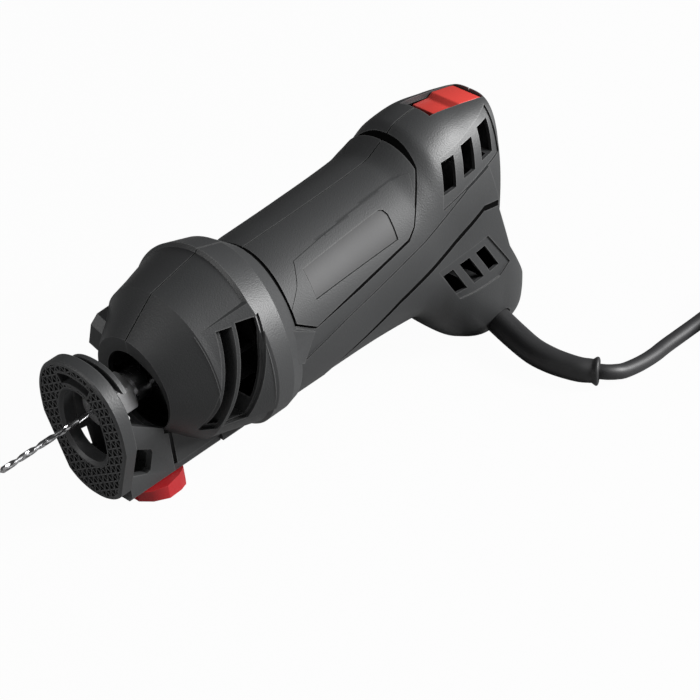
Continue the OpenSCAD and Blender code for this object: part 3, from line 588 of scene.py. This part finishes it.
def section_ring(x, values, grow=0.0, around=AROUND, sweep=0.0):
    top, low, half, square, widest = values
    a = angles(around)
    s, c = np.sin(a), np.cos(a)
    height = np.where(c >= 0, top - widest + grow, widest - low + grow)
    y = (half + grow) * np.sign(s) * np.abs(s) ** (2 / square)
    z = widest + height * np.sign(c) * np.abs(c) ** (2 / square)
    return np.stack([x - sweep * s * s, y, z], 1)


def collar_sweep(x):
    """How far the sides of a section lean forward: most at the collar, less before and behind it."""
    rising, falling = (x - 56) / 20, (125 - x) / 18
    return SWEEP * min(max(rising, 0), 1, max(falling, 0))


def loft(name, grow=0.0, first=STATIONS[0, 0], last=STATIONS[-1, 0], flat=0.0):
    """The body from one place to another; before the place named flat its section stays the same."""
    nose, rear = np.arange(first, BARREL_X, NOSE_STEP), np.arange(BARREL_X, last, BARREL_STEP)
    corners = [x for x in STATIONS[:, 0] if first < x < BARREL_X]
    rings = []
    for x in np.unique(np.concatenate([nose, rear, [last], corners])):
        drawn = max(x, flat)
        rings.append(section_ring(x, section_at(drawn), grow, sweep=collar_sweep(drawn)))
    return ring_solid(name, rings)


print("sections:", len(STATIONS), "points around each:", AROUND)

# %% [markdown]
# The outside is cut to the shape of the tail's back and to the floor, gets the keel that the depth guide
# slides on, and is then hollowed by a smaller copy of itself. Bulkheads that carry the bearings and the motor
# stand across the hollow, and the bores go through them. The mouth of the nose is widened towards its lower
# left side. A line on the surface is cut to an even depth by first taking the deeper loft out of the cutter,
# so that the floor of each groove follows the body.

# %% Outside, hollow and bulkheads
TAIL_BACK = [(268, 80), (268, 44), (260, 25), (250, -9), (256, -36), (275, -74), (275, -79), (266, -92),
             (252, -97), (252, -140)]
KEEL = [(33, -18), (33, -44), (62.5, -44), (62.5, -48.5), (76, -48.5), (92, -44), (96, -36), (80, -18)]
KEEL_NOSE = [(23, -36), (23, -44), (40, -44), (40, -26), (30, -24)]
FLOOR_AT = (9, -54.4)
# First place, last place, low edge and high edge of each bulkhead
BULKHEADS = [(48.8, 64, -120, 80), (86, 88, -120, 80), (101, 105, -120, 80), (135, 139, -120, 80),
             (173, 176, -120, 80), (184, 194, -120, 80), (225, 228, 8, 31), (250, 253, 8, 31),
             (225, 233, -120, -42)]
# Places and radii of the bores for the nut, the bearings and the motor
BORES = [(25, 19.5), (27.5, 18.5), (33.8, 18.5), (33.8, 13), (53, 13), (53, 9), (56, 9), (56, 13), (98.9, 13),
         (99, 29.5), (150, 29.5), (150, 25.5), (183.9, 25.5), (184, 11), (191, 11), (191, 5), (200, 5)]
MOUTH, MOUTH_SHIFT = [(24, 20.2), (33, 20.2)], (0, -3.9, -3.7)
BORE_SIDES = 96


def before_back(inset):
    return side_block("before_back", [(x - inset, z) for x, z in [(0, -140), (0, 80)] + TAIL_BACK])


def above_floor():
    """All that lies above the floor, which is tilted in the tool's own axes."""
    line = [(x, FLOOR_AT[1] - math.tan(pitch) * (x - FLOOR_AT[0])) for x in (-60, 320)]
    return side_block("above_floor", line + [(320, 120), (-60, 120)], -90, 90)


layers = {}


def layer(depth):
    """The body drawn in by a depth, made once and used by many cuts."""
    if depth not in layers:
        layers[depth] = loft(f"layer_{len(layers)}", -depth)
    return layers[depth]


def score(target, cutter, depth):
    """Cuts the cutter's outline into the surface to an even depth."""
    carve(cutter, layer(depth), keep=True)
    carve(target, cutter)


shell = carve(loft("shell"), before_back(0), "INTERSECT")
carve(shell, side_block("keel", KEEL, -16.5, 16.5), "UNION")
carve(shell, side_block("keel_nose", KEEL_NOSE, -10, 10), "UNION")
carve(shell, carve(loft("hollow", -WALL, first=30.8), before_back(WALL), "INTERSECT"))
ribs, *more_ribs = [side_block("rib", rect(x0, low, x1, high)) for x0, x1, low, high in BULKHEADS]
for rib in more_ribs:
    carve(ribs, rib, "UNION")
carve(ribs, loft("rib_limit", -WALL / 2), "INTERSECT")
carve(ribs, before_back(WALL / 2), "INTERSECT")
carve(shell, ribs, "UNION")
carve(shell, turned("bores", BORES, BORE_SIDES))
mouth = turned("wide_mouth", MOUTH, BORE_SIDES)
mouth.data.transform(Matrix.Translation(MOUTH_SHIFT))
carve(shell, mouth)
print("shell so far:", len(shell.data.polygons), "faces")

# %% [markdown]
# A raised sash runs along each side from under the collar up to the tail, with a dark groove below it, and a
# flat facet joins its front end to the collar. The soft panel above it sits between grooves of its own. Each
# is an outline seen from the side, and because a groove's cutter reaches across the tool, both sides are cut
# at once. A near-black strip lies in each groove as painted shade, so the groove reads dark like a deep gap.
# It is made from the same cutter, kept between two lofts, so it fits its groove.

# %% Sash and grooves
PANEL_LOW = [(101.4, 9.9), (102.5, 9.1), (113.6, 1.5), (146, 5.9), (182, 12.2), (187.5, 16.7), (203.4, 38.2),
             (208.1, 52.5)]
SASH_TOP = [(90, -16.6), (101.5, -13.8), (133.5, -6), (154.5, -2), (192, 6), (246, 22)]
SASH_LOW = [(250, -3.4), (237, 0.6), (213.5, -5.4), (170, -17.4), (131.8, -32), (122.7, -39)]
FACET = np.array([(96.8, -41.6, 9.0), (89.6, -45.6, -6.6), (101.5, -40.7, -13.8), (111.3, -40.3, -0.6)])
FACET_DEEP = (0, 14, 0)
COLLAR_GROOVE, COLLAR_CORNER = (104.7, 106.9, 108.8), 7.4
GROOVE, SHADE_STRIP_INSET = 2.4, 0.2
SASH_HIGH, ROOT = 0.9, 1.0
SEAM_HALF, SEAM_DEPTH = 0.35, 0.9


def band(points, above, below):
    """The outline of a strip along a line, from a distance on its left to one on its right."""
    points = np.asarray(points, float)
    ways = np.diff(points, axis=0)
    ways /= np.linalg.norm(ways, axis=1)[:, None]
    mean = np.concatenate([ways[:1], ways[:-1] + ways[1:], ways[-1:]])
    mean /= np.linalg.norm(mean, axis=1)[:, None]
    side = np.stack([-mean[:, 1], mean[:, 0]], 1)
    return [tuple(p) for p in points + side * above] + [tuple(p) for p in (points - side * below)[::-1]]


sash = carve(loft("sash", SASH_HIGH, first=92.0, last=262.0, flat=109.0),
             side_block("sash_limit", SASH_TOP + SASH_LOW + [(90, -39)]), "INTERSECT")
carve(sash, before_back(0), "INTERSECT")
carve(sash, layer(ROOT), keep=True)
carve(shell, sash, "UNION")
for side in (1, -1):
    rings = [FACET * (1, side, 1), (FACET + FACET_DEEP) * (1, side, 1)]
    carve(shell, ring_solid("facet", rings[::side]), "UNION")


def groove_cutters():
    collar = ring_solid("collar_groove", [section_ring(x, section_at(x), 6, sweep=collar_sweep(x))
                                          for x in COLLAR_GROOVE])
    carve(collar, side_block("above_corner", rect(80, COLLAR_CORNER, 140, 90)), "INTERSECT")
    return [side_block("panel_groove", band(PANEL_LOW, 1.1, 2.0)),
            side_block("sash_groove", band(SASH_LOW, 3.0, 0.9)), collar]


for cutter in groove_cutters():
    score(shell, cutter, GROOVE)
# These strips are painted shade: near-black sheets that make the grooves read dark
for number, strip in enumerate(groove_cutters()):
    carve(strip, loft("strip_top", -SHADE_STRIP_INSET), "INTERSECT")
    carve(strip, layer(GROOVE), keep=True)
    carve(strip, before_back(0), "INTERSECT")
    strip.name = f"painted_shade_strip_{number}"
    give(strip, "housing", "groove_shade")
score(shell, block("seam", rect(20, -SEAM_HALF, 300, SEAM_HALF), -120, 90, 2), SEAM_DEPTH)
print("shell with its grooves:", len(shell.data.polygons), "faces")

# %% [markdown]
# Air goes in through slanted slots in the tail and out through the nose, beside the fan. A low cheek is
# raised on the nose where the left slots are, and the slots sit in shallow pockets, so their rims read as
# light lines. Openings for the switch, the shaft lock, the screws, the lead and the clamp bolt follow the
# CAD model.

# %% Air slots
CHEEK = [(47, 41.4), (76.5, 51.0)]
CHEEK_LIMIT = [(40, -24), (80, -24), (80, 36.5), (49, 29.9), (40, 28)]
UPPER_POCKET = [(208.6, 14), (217.6, 37.2), (263, 41.6), (258, 20.5)]
LOWER_POCKET = [(199, -17.5), (238, -18), (255, -45), (246, -49), (216, -46)]
POCKET_DEPTH, FRONT_DEPTH, REAR_DEPTH = 0.9, 2.4, 1.2
SLOT_LEAN, SLOT_DEEP = 0.33, 28


def leaning(name, x0, x1, z0, z1, side):
    """A cutter through one side of the nose that leans back with the collar."""
    outline = [(x + SLOT_LEAN * z, z) for x, z in rect(x0, z0, x1, z1)]
    return side_block(name, outline, *((-REACH, -SLOT_DEEP) if side < 0 else (SLOT_DEEP, REACH)))


cheek = turned("cheek", CHEEK, AROUND)
carve(cheek, side_block("cheek_limit", CHEEK_LIMIT, -REACH, -20), "INTERSECT")
carve(cheek, layer(ROOT), keep=True)
carve(shell, cheek, "UNION")
score(shell, leaning("front_pocket", 47, 54.5, -23, 29, -1), FRONT_DEPTH)
carve(shell, leaning("front_slot", 50.5, 54.5, -20, 28, -1))
for side, top in ((-1, 29), (1, 16)):
    score(shell, leaning("rear_pocket", 56.3, 69, -22, top + 1, side), REAR_DEPTH)
    carve(shell, leaning("rear_slot", 56.9, 67.5, -20, top, side))

score(shell, side_block("upper_pocket", UPPER_POCKET), POCKET_DEPTH)
score(shell, side_block("lower_pocket", LOWER_POCKET), POCKET_DEPTH)
for k in range(3):
    x, z = 212 + 16 * k, 20.5 + 1.2 * k
    carve(shell, side_block("upper_slot", [(x, z), (x + 9.5, z), (x + 15, z + 14.5), (x + 5.5, z + 14.5)]))
    x = 203 + 12.5 * k
    carve(shell, side_block("lower_slot", [(x, -23), (x + 7.5, -23), (x + 18, -41.5), (x + 10.5, -41.5)]))
print("shell with its slots:", len(shell.data.polygons), "faces")

# %% Openings and the two halves
SWITCH = Matrix.Translation((251, 0, 44.5)) @ Matrix.Rotation(math.radians(11.3), 4, "Y")
LOCK = Matrix.Translation((45.5, 0, 0)) @ Matrix.Rotation(math.radians(-70), 4, "X")
# Place, height and depth of each screw's head
SCREWS = [(59, 27, 22), (59, -29, 22), (188, 24, 18), (188, -36, 18), (229, -62, 16)]
BOLT_X = 32
BOLT = Matrix.Translation((BOLT_X, 0, 0))
BOSS = [(-12, -5), (-8.5, -10.5), (6, -11.5), (9, -9), (9, 11), (6, 14), (-8, 14), (-12, 9)]


def moved(obj, matrix):
    obj.data.transform(matrix)
    return obj


def upright(name, profile, sides):
    """A solid of revolution about its own up axis from (height, radius) pairs."""
    a = angles(sides)
    return ring_solid(name, [np.stack([r * np.cos(a), r * np.sin(a), np.full(sides, w)], 1)
                             for w, r in profile])


def peg(name, radius, low, high, matrix, sides=48):
    """A cylinder along its own up axis, put in place by a matrix."""
    return moved(upright(name, [(low, radius), (high, radius)], sides), matrix)


def across(x, y, z):
    """A place on the tool, with up turned to the tool's right."""
    return Matrix.Translation((x, y, z)) @ Matrix.Rotation(math.radians(-90), 4, "X")


carve(shell, moved(block("lock_boss", BOSS, 21.2, 38, 2), LOCK), "UNION")
carve(shell, peg("lock_pocket", 8.5, 24, 64, LOCK))
carve(shell, moved(block("switch_pocket", rect(-23, -10.5, 16, 10.5), -6, 24, 2), SWITCH))
for x, z, head in SCREWS:
    carve(shell, peg("screw_pocket", 4.0, 0, 60, across(x, head, z)))
carve(shell, peg("lead_hole", 7.5, 0, 30, across(250, -36, -83.5)))
carve(shell, peg("bolt_hole", 3.0, -60, -30, BOLT))
carve(shell, block("rail_way", rect(0, -15.5, 62.5, 15.5), -120, -44, 2))
carve(shell, above_floor(), "INTERSECT")
left_shell = copy_of(shell, "left_shell")
for half, y0, y1, node in ((left_shell, -150, 0, "left_housing"), (shell, 0, 150, "right_housing")):
    carve(half, side_block("half", rect(-100, -200, 400, 200), y0, y1), "INTERSECT")
    give(half, "housing", "shell_plastic", [node], sharp=20)
shell.name = "right_shell"

# %% [markdown]
# The soft panels are a second, thin skin over the barrel, from the seam down to the groove. The area around
# the label stands a little higher, which gives the crease that runs along the barrel. The label itself is a
# bare plate in a shallow recess.

# %% Soft panels and label
PANEL = [(96, 12.7), (102, 8.8), (113, 1.4), (146, 7.0), (181.5, 12.9), (187, 16.6), (203.4, 37.6),
         (207.8, 80), (96, 80)]
CREASE = [(102, 14.4), (112, 21.9), (119, 29.6), (186.5, 35.5), (200, 37), (187, 14), (112, -2), (102, 0)]
LABEL = [(118, 13), (176, 15.5), (177.6, 27), (176.6, 29.2), (174.5, 29.9), (120, 26)]
PANEL_SPAN = {"first": 108.9, "last": 216.0}
PANEL_HIGH, CREASE_HIGH, LABEL_HIGH = 1.2, 1.5, 0.9
SEAM_GAP, LABEL_FIT = 0.4, 0.985


def panel(name, side):
    skin = loft(name, PANEL_HIGH, **PANEL_SPAN)
    crease = carve(loft("crease", CREASE_HIGH, **PANEL_SPAN), side_block("crease_limit", CREASE), "INTERSECT")
    carve(skin, crease, "UNION")
    carve(skin, layer(0.0), keep=True)
    limits = (-REACH, -SEAM_GAP) if side < 0 else (SEAM_GAP, REACH)
    return carve(skin, side_block("panel_limit", PANEL, *limits), "INTERSECT")


left_panel = panel("left_panel", -1)
carve(left_panel, side_block("label_gap", LABEL, -REACH, 0))
give(left_panel, "housing", "soft_grip", ["left_grip"])
give(panel("right_panel", 1), "housing", "soft_grip", ["right_grip"])
middle = np.mean(LABEL, axis=0)
plate_outline = [tuple(middle + (np.array(p) - middle) * LABEL_FIT) for p in LABEL]
plate = carve(loft("bare_label", LABEL_HIGH, **PANEL_SPAN),
              side_block("label_limit", plate_outline, -REACH, 0), "INTERSECT")
carve(plate, layer(0.0), keep=True)
give(plate, "housing", "label", ["label_plate"])
for spare in layers.values():
    drop(spare)
layers.clear()

# %% [markdown]
# The foot plate meets the wall board. Its front is a waffle of thin ribs inside a smooth rim, with an egg
# shaped opening for the bit. The ribs repeat, so a Geometry Nodes tree makes them: a line of points, a bar on
# each, and a turn. The tree runs once for each direction, and the bars are then joined and trimmed to the
# field between the rim and the opening.

# %% A node tree for rows of ribs
def rib_tree():
    tree = bpy.data.node_groups.new("rib_row", "GeometryNodeTree")
    ids = {}
    for label, kind, value in (("Count", "NodeSocketInt", 12), ("Pitch", "NodeSocketFloat", 6.0),
                               ("Width", "NodeSocketFloat", 0.9), ("Depth", "NodeSocketFloat", 3.0),
                               ("Length", "NodeSocketFloat", 120.0), ("Turn", "NodeSocketFloat", 0.0),
                               ("Finish", "NodeSocketMaterial", None)):
        socket = tree.interface.new_socket(label, in_out="INPUT", socket_type=kind)
        if value is not None:
            socket.default_value = value
        ids[label] = socket.identifier
    tree.interface.new_socket("Geometry", in_out="OUTPUT", socket_type="NodeSocketGeometry")
    given, out = tree.nodes.new("NodeGroupInput"), tree.nodes.new("NodeGroupOutput")
    add, link = tree.nodes.new, tree.links.new

    def vector(*parts):
        node = add("ShaderNodeCombineXYZ")
        for socket, part in zip(node.inputs, parts):
            if part is not None:
                link(part, socket)
        return node.outputs[0]

    line = add("GeometryNodeMeshLine")
    link(given.outputs["Count"], line.inputs["Count"])
    link(vector(None, given.outputs["Pitch"]), line.inputs["Offset"])
    bar = add("GeometryNodeMeshCube")
    size = vector(given.outputs["Depth"], given.outputs["Width"], given.outputs["Length"])
    link(size, bar.inputs["Size"])
    bars = add("GeometryNodeInstanceOnPoints")
    link(line.outputs["Mesh"], bars.inputs["Points"])
    link(bar.outputs["Mesh"], bars.inputs["Instance"])
    gaps = add_math(tree, "SUBTRACT", given.outputs["Count"], 1.0)
    whole = add_math(tree, "MULTIPLY", gaps, given.outputs["Pitch"])
    centre = add("GeometryNodeTransform")
    link(bars.outputs["Instances"], centre.inputs["Geometry"])
    link(vector(None, add_math(tree, "MULTIPLY", whole, -0.5)), centre.inputs["Translation"])
    turned_row = add("GeometryNodeTransform")
    link(centre.outputs["Geometry"], turned_row.inputs["Geometry"])
    link(vector(given.outputs["Turn"]), turned_row.inputs["Rotation"])
    real, paint = add("GeometryNodeRealizeInstances"), add("GeometryNodeSetMaterial")
    link(turned_row.outputs["Geometry"], real.inputs["Geometry"])
    link(real.outputs["Geometry"], paint.inputs["Geometry"])
    link(given.outputs["Finish"], paint.inputs["Material"])
    link(paint.outputs["Geometry"], out.inputs["Geometry"])
    return tree, ids


RIBS, RIB_IDS = rib_tree()


def rib_row(name, angle, pitch_mm, count, width=0.7, depth=3.2):
    obj = add_object(name, bpy.data.meshes.new(name))
    step = obj.modifiers.new("ribs", "NODES")
    step.node_group = RIBS
    for label, value in (("Count", count), ("Pitch", pitch_mm), ("Width", width), ("Depth", depth),
                         ("Turn", math.radians(angle)), ("Finish", FINISH["shell_plastic"])):
        step[RIB_IDS[label]] = value
    return settle(obj)


print("rib tree:", len(RIBS.nodes), "nodes")

# %% Foot plate
# Top, bottom, half width, squareness and height of the widest line, as for the housing
FOOT = (31, -46.5, 30.8, 2.25, -3)
EGG = (15, -25, 15, 2.3, -8)
FOOT_HALF, FOOT_TAPER, TAPER_TOP, FOOT_SIDES = 31, 0.38, -8, 120
RIB_PITCH = 4.2


def foot_form(name, values, steps):
    """A plate from (place, growth) pairs of one outline, with straight lower sides."""
    rings = []
    for x, grow in steps:
        ring = section_ring(x, values, grow, FOOT_SIDES)
        side = FOOT_HALF + grow - FOOT_TAPER * np.maximum(0, TAPER_TOP - ring[:, 2])
        ring[:, 1] = np.clip(ring[:, 1], -side, side)
        rings.append(ring)
    return ring_solid(name, rings)


def slab(name, x0, x1, z0, z1):
    return block(name, rect(-REACH, z0, REACH, z1), x0, x1, 0)


foot = foot_form("waffle_foot", FOOT, [(-6, -1.1), (-5.7, -0.5), (-5.1, 0), (1.2, 0), (2, -0.8)])
lip = foot_form("lip", FOOT, [(6, -4.4), (6.4, -4), (8.6, -4), (9, -4.4)])
carve(lip, foot_form("web", FOOT, [(1, -8.5), (6.5, -8.5)]), "UNION")
carve(lip, slab("lip_limit", -20, 40, 17, 80), "INTERSECT")
carve(foot, lip, "UNION")
field = foot_form("field", FOOT, [(-9, -2.0), (-3.1, -2.0)])
carve(field, foot_form("egg_rim", EGG, [(-12, 2.4), (5, 2.4)]))
slot_rim = foot_form("slot_rim", FOOT, [(-12, -5.2), (5, -5.2)])
carve(slot_rim, foot_form("slot_rim_in", FOOT, [(-13, -12.8), (6, -12.8)]))
fan = block("fan", [(0, 2), (31, 48), (-31, 48)], -20, 20, 0)
carve(slot_rim, copy_of(fan, "fan_wide"), "INTERSECT")
carve(field, slot_rim)
waffle = rib_row("ribs", 0, RIB_PITCH, 21)
for angle in (60, -60):
    carve(waffle, rib_row("more_ribs", angle, RIB_PITCH, 25), "UNION")
waffle.data.transform(Matrix.Translation((-4.2, 0.4, -6)))
carve(waffle, copy_of(field, "field_limit"), "INTERSECT")
carve(foot, field)
carve(foot, waffle, "UNION")
arc = foot_form("arc", FOOT, [(-12, -6.4), (1, -6.4)])
carve(arc, foot_form("arc_in", FOOT, [(-13, -11.6), (6, -11.6)]))
fan.data.transform(Matrix.Diagonal((1, 0.9, 1, 1)))
carve(arc, fan, "INTERSECT")
carve(foot, arc)
carve(foot, foot_form("egg", EGG, [(-8, 1.6), (-6, 1.6), (-4.6, 0), (30, 0)]))
give(foot, "depth_guide", "shell_plastic", ["foot_plate"])

# %% [markdown]
# The guide rail carries the foot and slides along the keel. It is a flat rail with two side walls that have
# windows for the dust, and a slot for the clamp bolt. Its edges are rounded by a Bevel modifier, after the
# cuts' spare edges on the flat faces are dissolved. The red lever below it turns on the bolt.

# %% Guide rail and lock lever
WALL_END = [(2, -45.5), (28.5, -45.5), (29.5, -27), (26.2, -25), (26.2, -17.3)]
WALL_STEP = [(20, -45.5), (29.8, -45.5), (29.8, -22.5), (27.4, -21.5), (27.4, -18.1), (20, -13.2)]
NEAR_WINDOW = [(4, -17), (9, -19.5), (18, -25), (18.6, -27), (15.5, -36), (13, -37), (4, -33)]
FAR_WINDOW = [(1.5, -17.5), (8, -18.5), (9.5, -33), (1.5, -31)]
SLOT_R, SLOT_LONG = 3.5, 20
rail = block("rail_with_walls", rect(2, -15, 62, 15), -48.5, -44.5, 2)
carve(rail, side_block("near_wall", WALL_END + [(2, -0.5)], -18, -14), "UNION")
carve(rail, side_block("wall_end", WALL_STEP, -18, -16.8), "UNION")
carve(rail, side_block("far_wall", WALL_END + [(12, -8), (8, 9), (2, 9)], 14, 18), "UNION")
carve(rail, side_block("near_window", NEAR_WINDOW, -REACH, 0))
carve(rail, side_block("far_window", FAR_WINDOW, 0, REACH))
bolt_slot = []
for k in range(25):
    a = math.radians(90 + 15 * k)
    bolt_slot.append((BOLT_X + SLOT_LONG * (k > 12) + SLOT_R * math.cos(a), SLOT_R * math.sin(a)))
carve(rail, block("bolt_slot", bolt_slot, -60, -40, 2))
give(soften(rail, 0.5), "depth_guide", "shell_plastic", ["guide_rail"])

LEVER = [(40, -3), (39, -12), (36, -16), (31, -18.5), (22, -20.5), (14, -17.5), (9, -12.5), (9, -7), (24, 6),
         (32, 3)]
LEVER_LOW, LEVER_TOP = -69, -49
lever = block("red_lever", LEVER, LEVER_LOW, LEVER_TOP, 2)
carve(lever, peg("hub", 9, LEVER_LOW, LEVER_TOP, BOLT, 64), "UNION")
carve(lever, above_floor(), "INTERSECT")
carve(lever, peg("bore", 3.05, -52.5, -40, BOLT))
# The lever takes the darker red, which is painted shade
give(soften(lever, 0.45), "lever", "red_plastic", ["lock_lever"])

# %% [markdown]
# The controls are small but catch the eye: a red slide switch with a low front and a raised thumb rest, and a
# push button on the far side of the nose that locks the spindle.

# %% Slide switch and shaft lock
THUMB = [(-15, -5.5), (15, -5.5), (15, 1), (12, 1.5), (-1, 2), (-4, -0.5), (-15, -1)]
BUTTON = [(33, 7.4), (33.6, 8), (38.1, 8), (39.4, 7.6), (40.2, 6.6), (40.5, 5.2), (40, 4.8), (39.7, 3.6),
          (39.6, 1.0)]
slider = moved(soften(side_block("red_slider", THUMB, -10, 10), 0.7, 3), SWITCH)
# The slider takes the lighter red, which is painted light
give(slider, "switch", "red_lit", ["switch_slider"])
button = upright("round_button", BUTTON, 64)
give(moved(button, LOCK), "shaft_lock", "black_plastic", ["lock_button"])

# %% [markdown]
# The spiral bit is a rod with two flutes that wind round it. Its section is a circle with two scoops, turned
# a little more at each step along the rod. The collet nut behind it is a hexagon whose corners are turned
# off, which is the common part of a hexagonal bar and a turned shape.

# %% Bit and collet nut
BIT_R, FLUTE_PITCH, FLUTE = 1.6, 24.0, 0.45
NUT_R, NUT_TURN = 11.75, -47
NUT_FORM = [(3, 8.8), (3.6, 9.6), (6.6, 9.75), (7, 10.2), (8.6, 11.8), (20, 11.8), (21, 10.9)]


def bit_ring(x, depth, scale=1.0, sides=28):
    a = angles(sides)
    r = BIT_R * scale * (1 - depth * np.maximum(0, np.cos(2 * a)) ** 0.7)
    twist = a + 2 * math.pi * x / FLUTE_PITCH
    return np.stack([np.full(sides, x), r * np.sin(twist), r * np.cos(twist)], 1)


tip = [bit_ring(-56, FLUTE, 0.25), bit_ring(-54.6, FLUTE, 0.9)]
flutes = [bit_ring(x, FLUTE) for x in np.arange(-54, -12, 0.5)]
run_out = [bit_ring(x, FLUTE * max(0, -8 - x) / 4) for x in np.arange(-12, -7.5, 0.5)]
bit = ring_solid("fluted_bit", tip + flutes + run_out + [bit_ring(21, 0)])
give(bit, "spindle", "steel", ["spiral_bit"])
corners = [math.radians(60 * k + NUT_TURN) for k in range(6)]
nut = block("hex_nut", [(NUT_R * math.sin(a), NUT_R * math.cos(a)) for a in corners], 3, 21, 0)
carve(nut, turned("nut_turning", NUT_FORM), "INTERSECT")
carve(nut, turned("nut_bore", [(2, 4), (8.5, 4), (8.5, 6.5), (22, 6.5)]))
give(soften(nut, 0.25), "spindle", "nut_chrome", ["collet_nut"])

# %% [markdown]
# The strain relief is a tapered rubber sleeve that bends with the lead and ends in a small flared rim. It is
# a tube along a smooth path, with its own radius at each point. The plug is a soft lofted form as well, and
# a strap holds the coil.

# %% Strain relief
def tube(name, points, radii, sides=28):
    """A tube along a line of points, with a radius for each."""
    rings = []
    for i, p in enumerate(points):
        way = (points[min(i + 1, len(points) - 1)] - points[max(i - 1, 0)]).normalized()
        side = way.cross(Vector((0, 0, 1))).normalized()
        up = side.cross(way)
        rings.append([p + radii[i] * (math.cos(a) * side + math.sin(a) * up)
                      for a in angles(sides).tolist()])
    return ring_solid(name, rings)


start = (TOOL @ Vector((250, -20, -83.5))) / MM
bends = smooth_path([start, (141.2, -38.2, 11), (138.2, -54, 9.6), (138.6, -65.7, 8.8), (140.6, -74.6, 8.3),
                     (143.2, -82.2, 8.1), (146.3, -86.6, 8), (149.3, -90.6, 8)], BEND_STEPS)
sleeve = [start + Vector((0, 14, 0)), start + Vector((0, 7, 0))] + bends
SLEEVE_R, SLEEVE_TAPER = 7.5, 1.3
FLARE = [6.3, 6.8, 7.3, 7.6, 7.6, 7.2, 6.2]
shares = np.linspace(0, 1, len(bends)).tolist()
widths = [SLEEVE_R, SLEEVE_R] + [SLEEVE_R - SLEEVE_TAPER * s for s in shares]
widths[-len(FLARE):] = FLARE
relief = tube("sleeve", sleeve, widths)
give(relief, "housing", "cord_rubber", ["strain_relief"], FLAT, 40)

# %% Plug and strap
# Distance from the lead, half width, half height and squareness
PLUG_FORM = [(0, 4.6, 4.6, 2), (2, 5.4, 5.4, 2), (6, 6.2, 6.0, 2), (8, 6.4, 6.2, 2.2), (14, 9.6, 8.2, 2.8),
             (20, 10.8, 8.9, 3.4), (33, 11, 9, 4), (35.2, 10.8, 8.8, 4), (36, 10.2, 8.2, 4)]
STRAP_T = 1.5
plug_rings = []
for along, half_y, half_z, square in PLUG_FORM:
    ring = section_ring(0, (half_z, -half_z, half_y, square, 0), 0, 64)
    plug_rings.append([(plug_end.x - along, plug_end.y - y, plug_end.z + z) for _, y, z in ring])
plug = give(ring_solid("plug", plug_rings), "housing", "cord_rubber", ["plug_body"], FLAT)
low, high = (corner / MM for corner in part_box("coil_tie"))
strap_outline = [(low.x, 0), (low.x, high.z), (high.x, high.z), (high.x, 0), (high.x - STRAP_T, 0),
                 (high.x - STRAP_T, high.z - STRAP_T), (low.x + STRAP_T, high.z - STRAP_T),
                 (low.x + STRAP_T, 0)]
strap = soften(side_block("strap", strap_outline, low.y, high.y), 0.6)
give(strap, "housing", "cord_rubber", ["coil_tie"], FLAT)

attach(mains_lead, "housing")
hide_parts("cord_run", "cord_coil")

# %% [markdown]
# The pieces inside, and the small fasteners, keep their CAD shapes and get finishes of their own, so that an
# opened tool looks right too.

# %% Finishes for the CAD pieces
KEPT = {
    "steel": ["housing_screws", "front_bearing", "rear_bearing", "brush_springs", "clamp_screws",
              "clamp_bolt", "spindle_shaft", "collet", "lock_pin", "lock_spring"],
    "laminated_iron": ["stator_core", "armature_core"],
    "copper": ["field_coils", "armature_windings", "commutator"],
    "black_plastic": ["brush_carrier", "switch_body", "cord_clamp", "fan", "switch_link"],
    "brass": ["brush_holders", "plug_blades"],
    "carbon": ["carbon_brushes"],
}
for finish, names in KEPT.items():
    for name in names:
        for slot in frame["nodes"][name].material_slots:
            slot.material = FINISH[finish]
print("kept CAD pieces:", sum(len(names) for names in KEPT.values()))
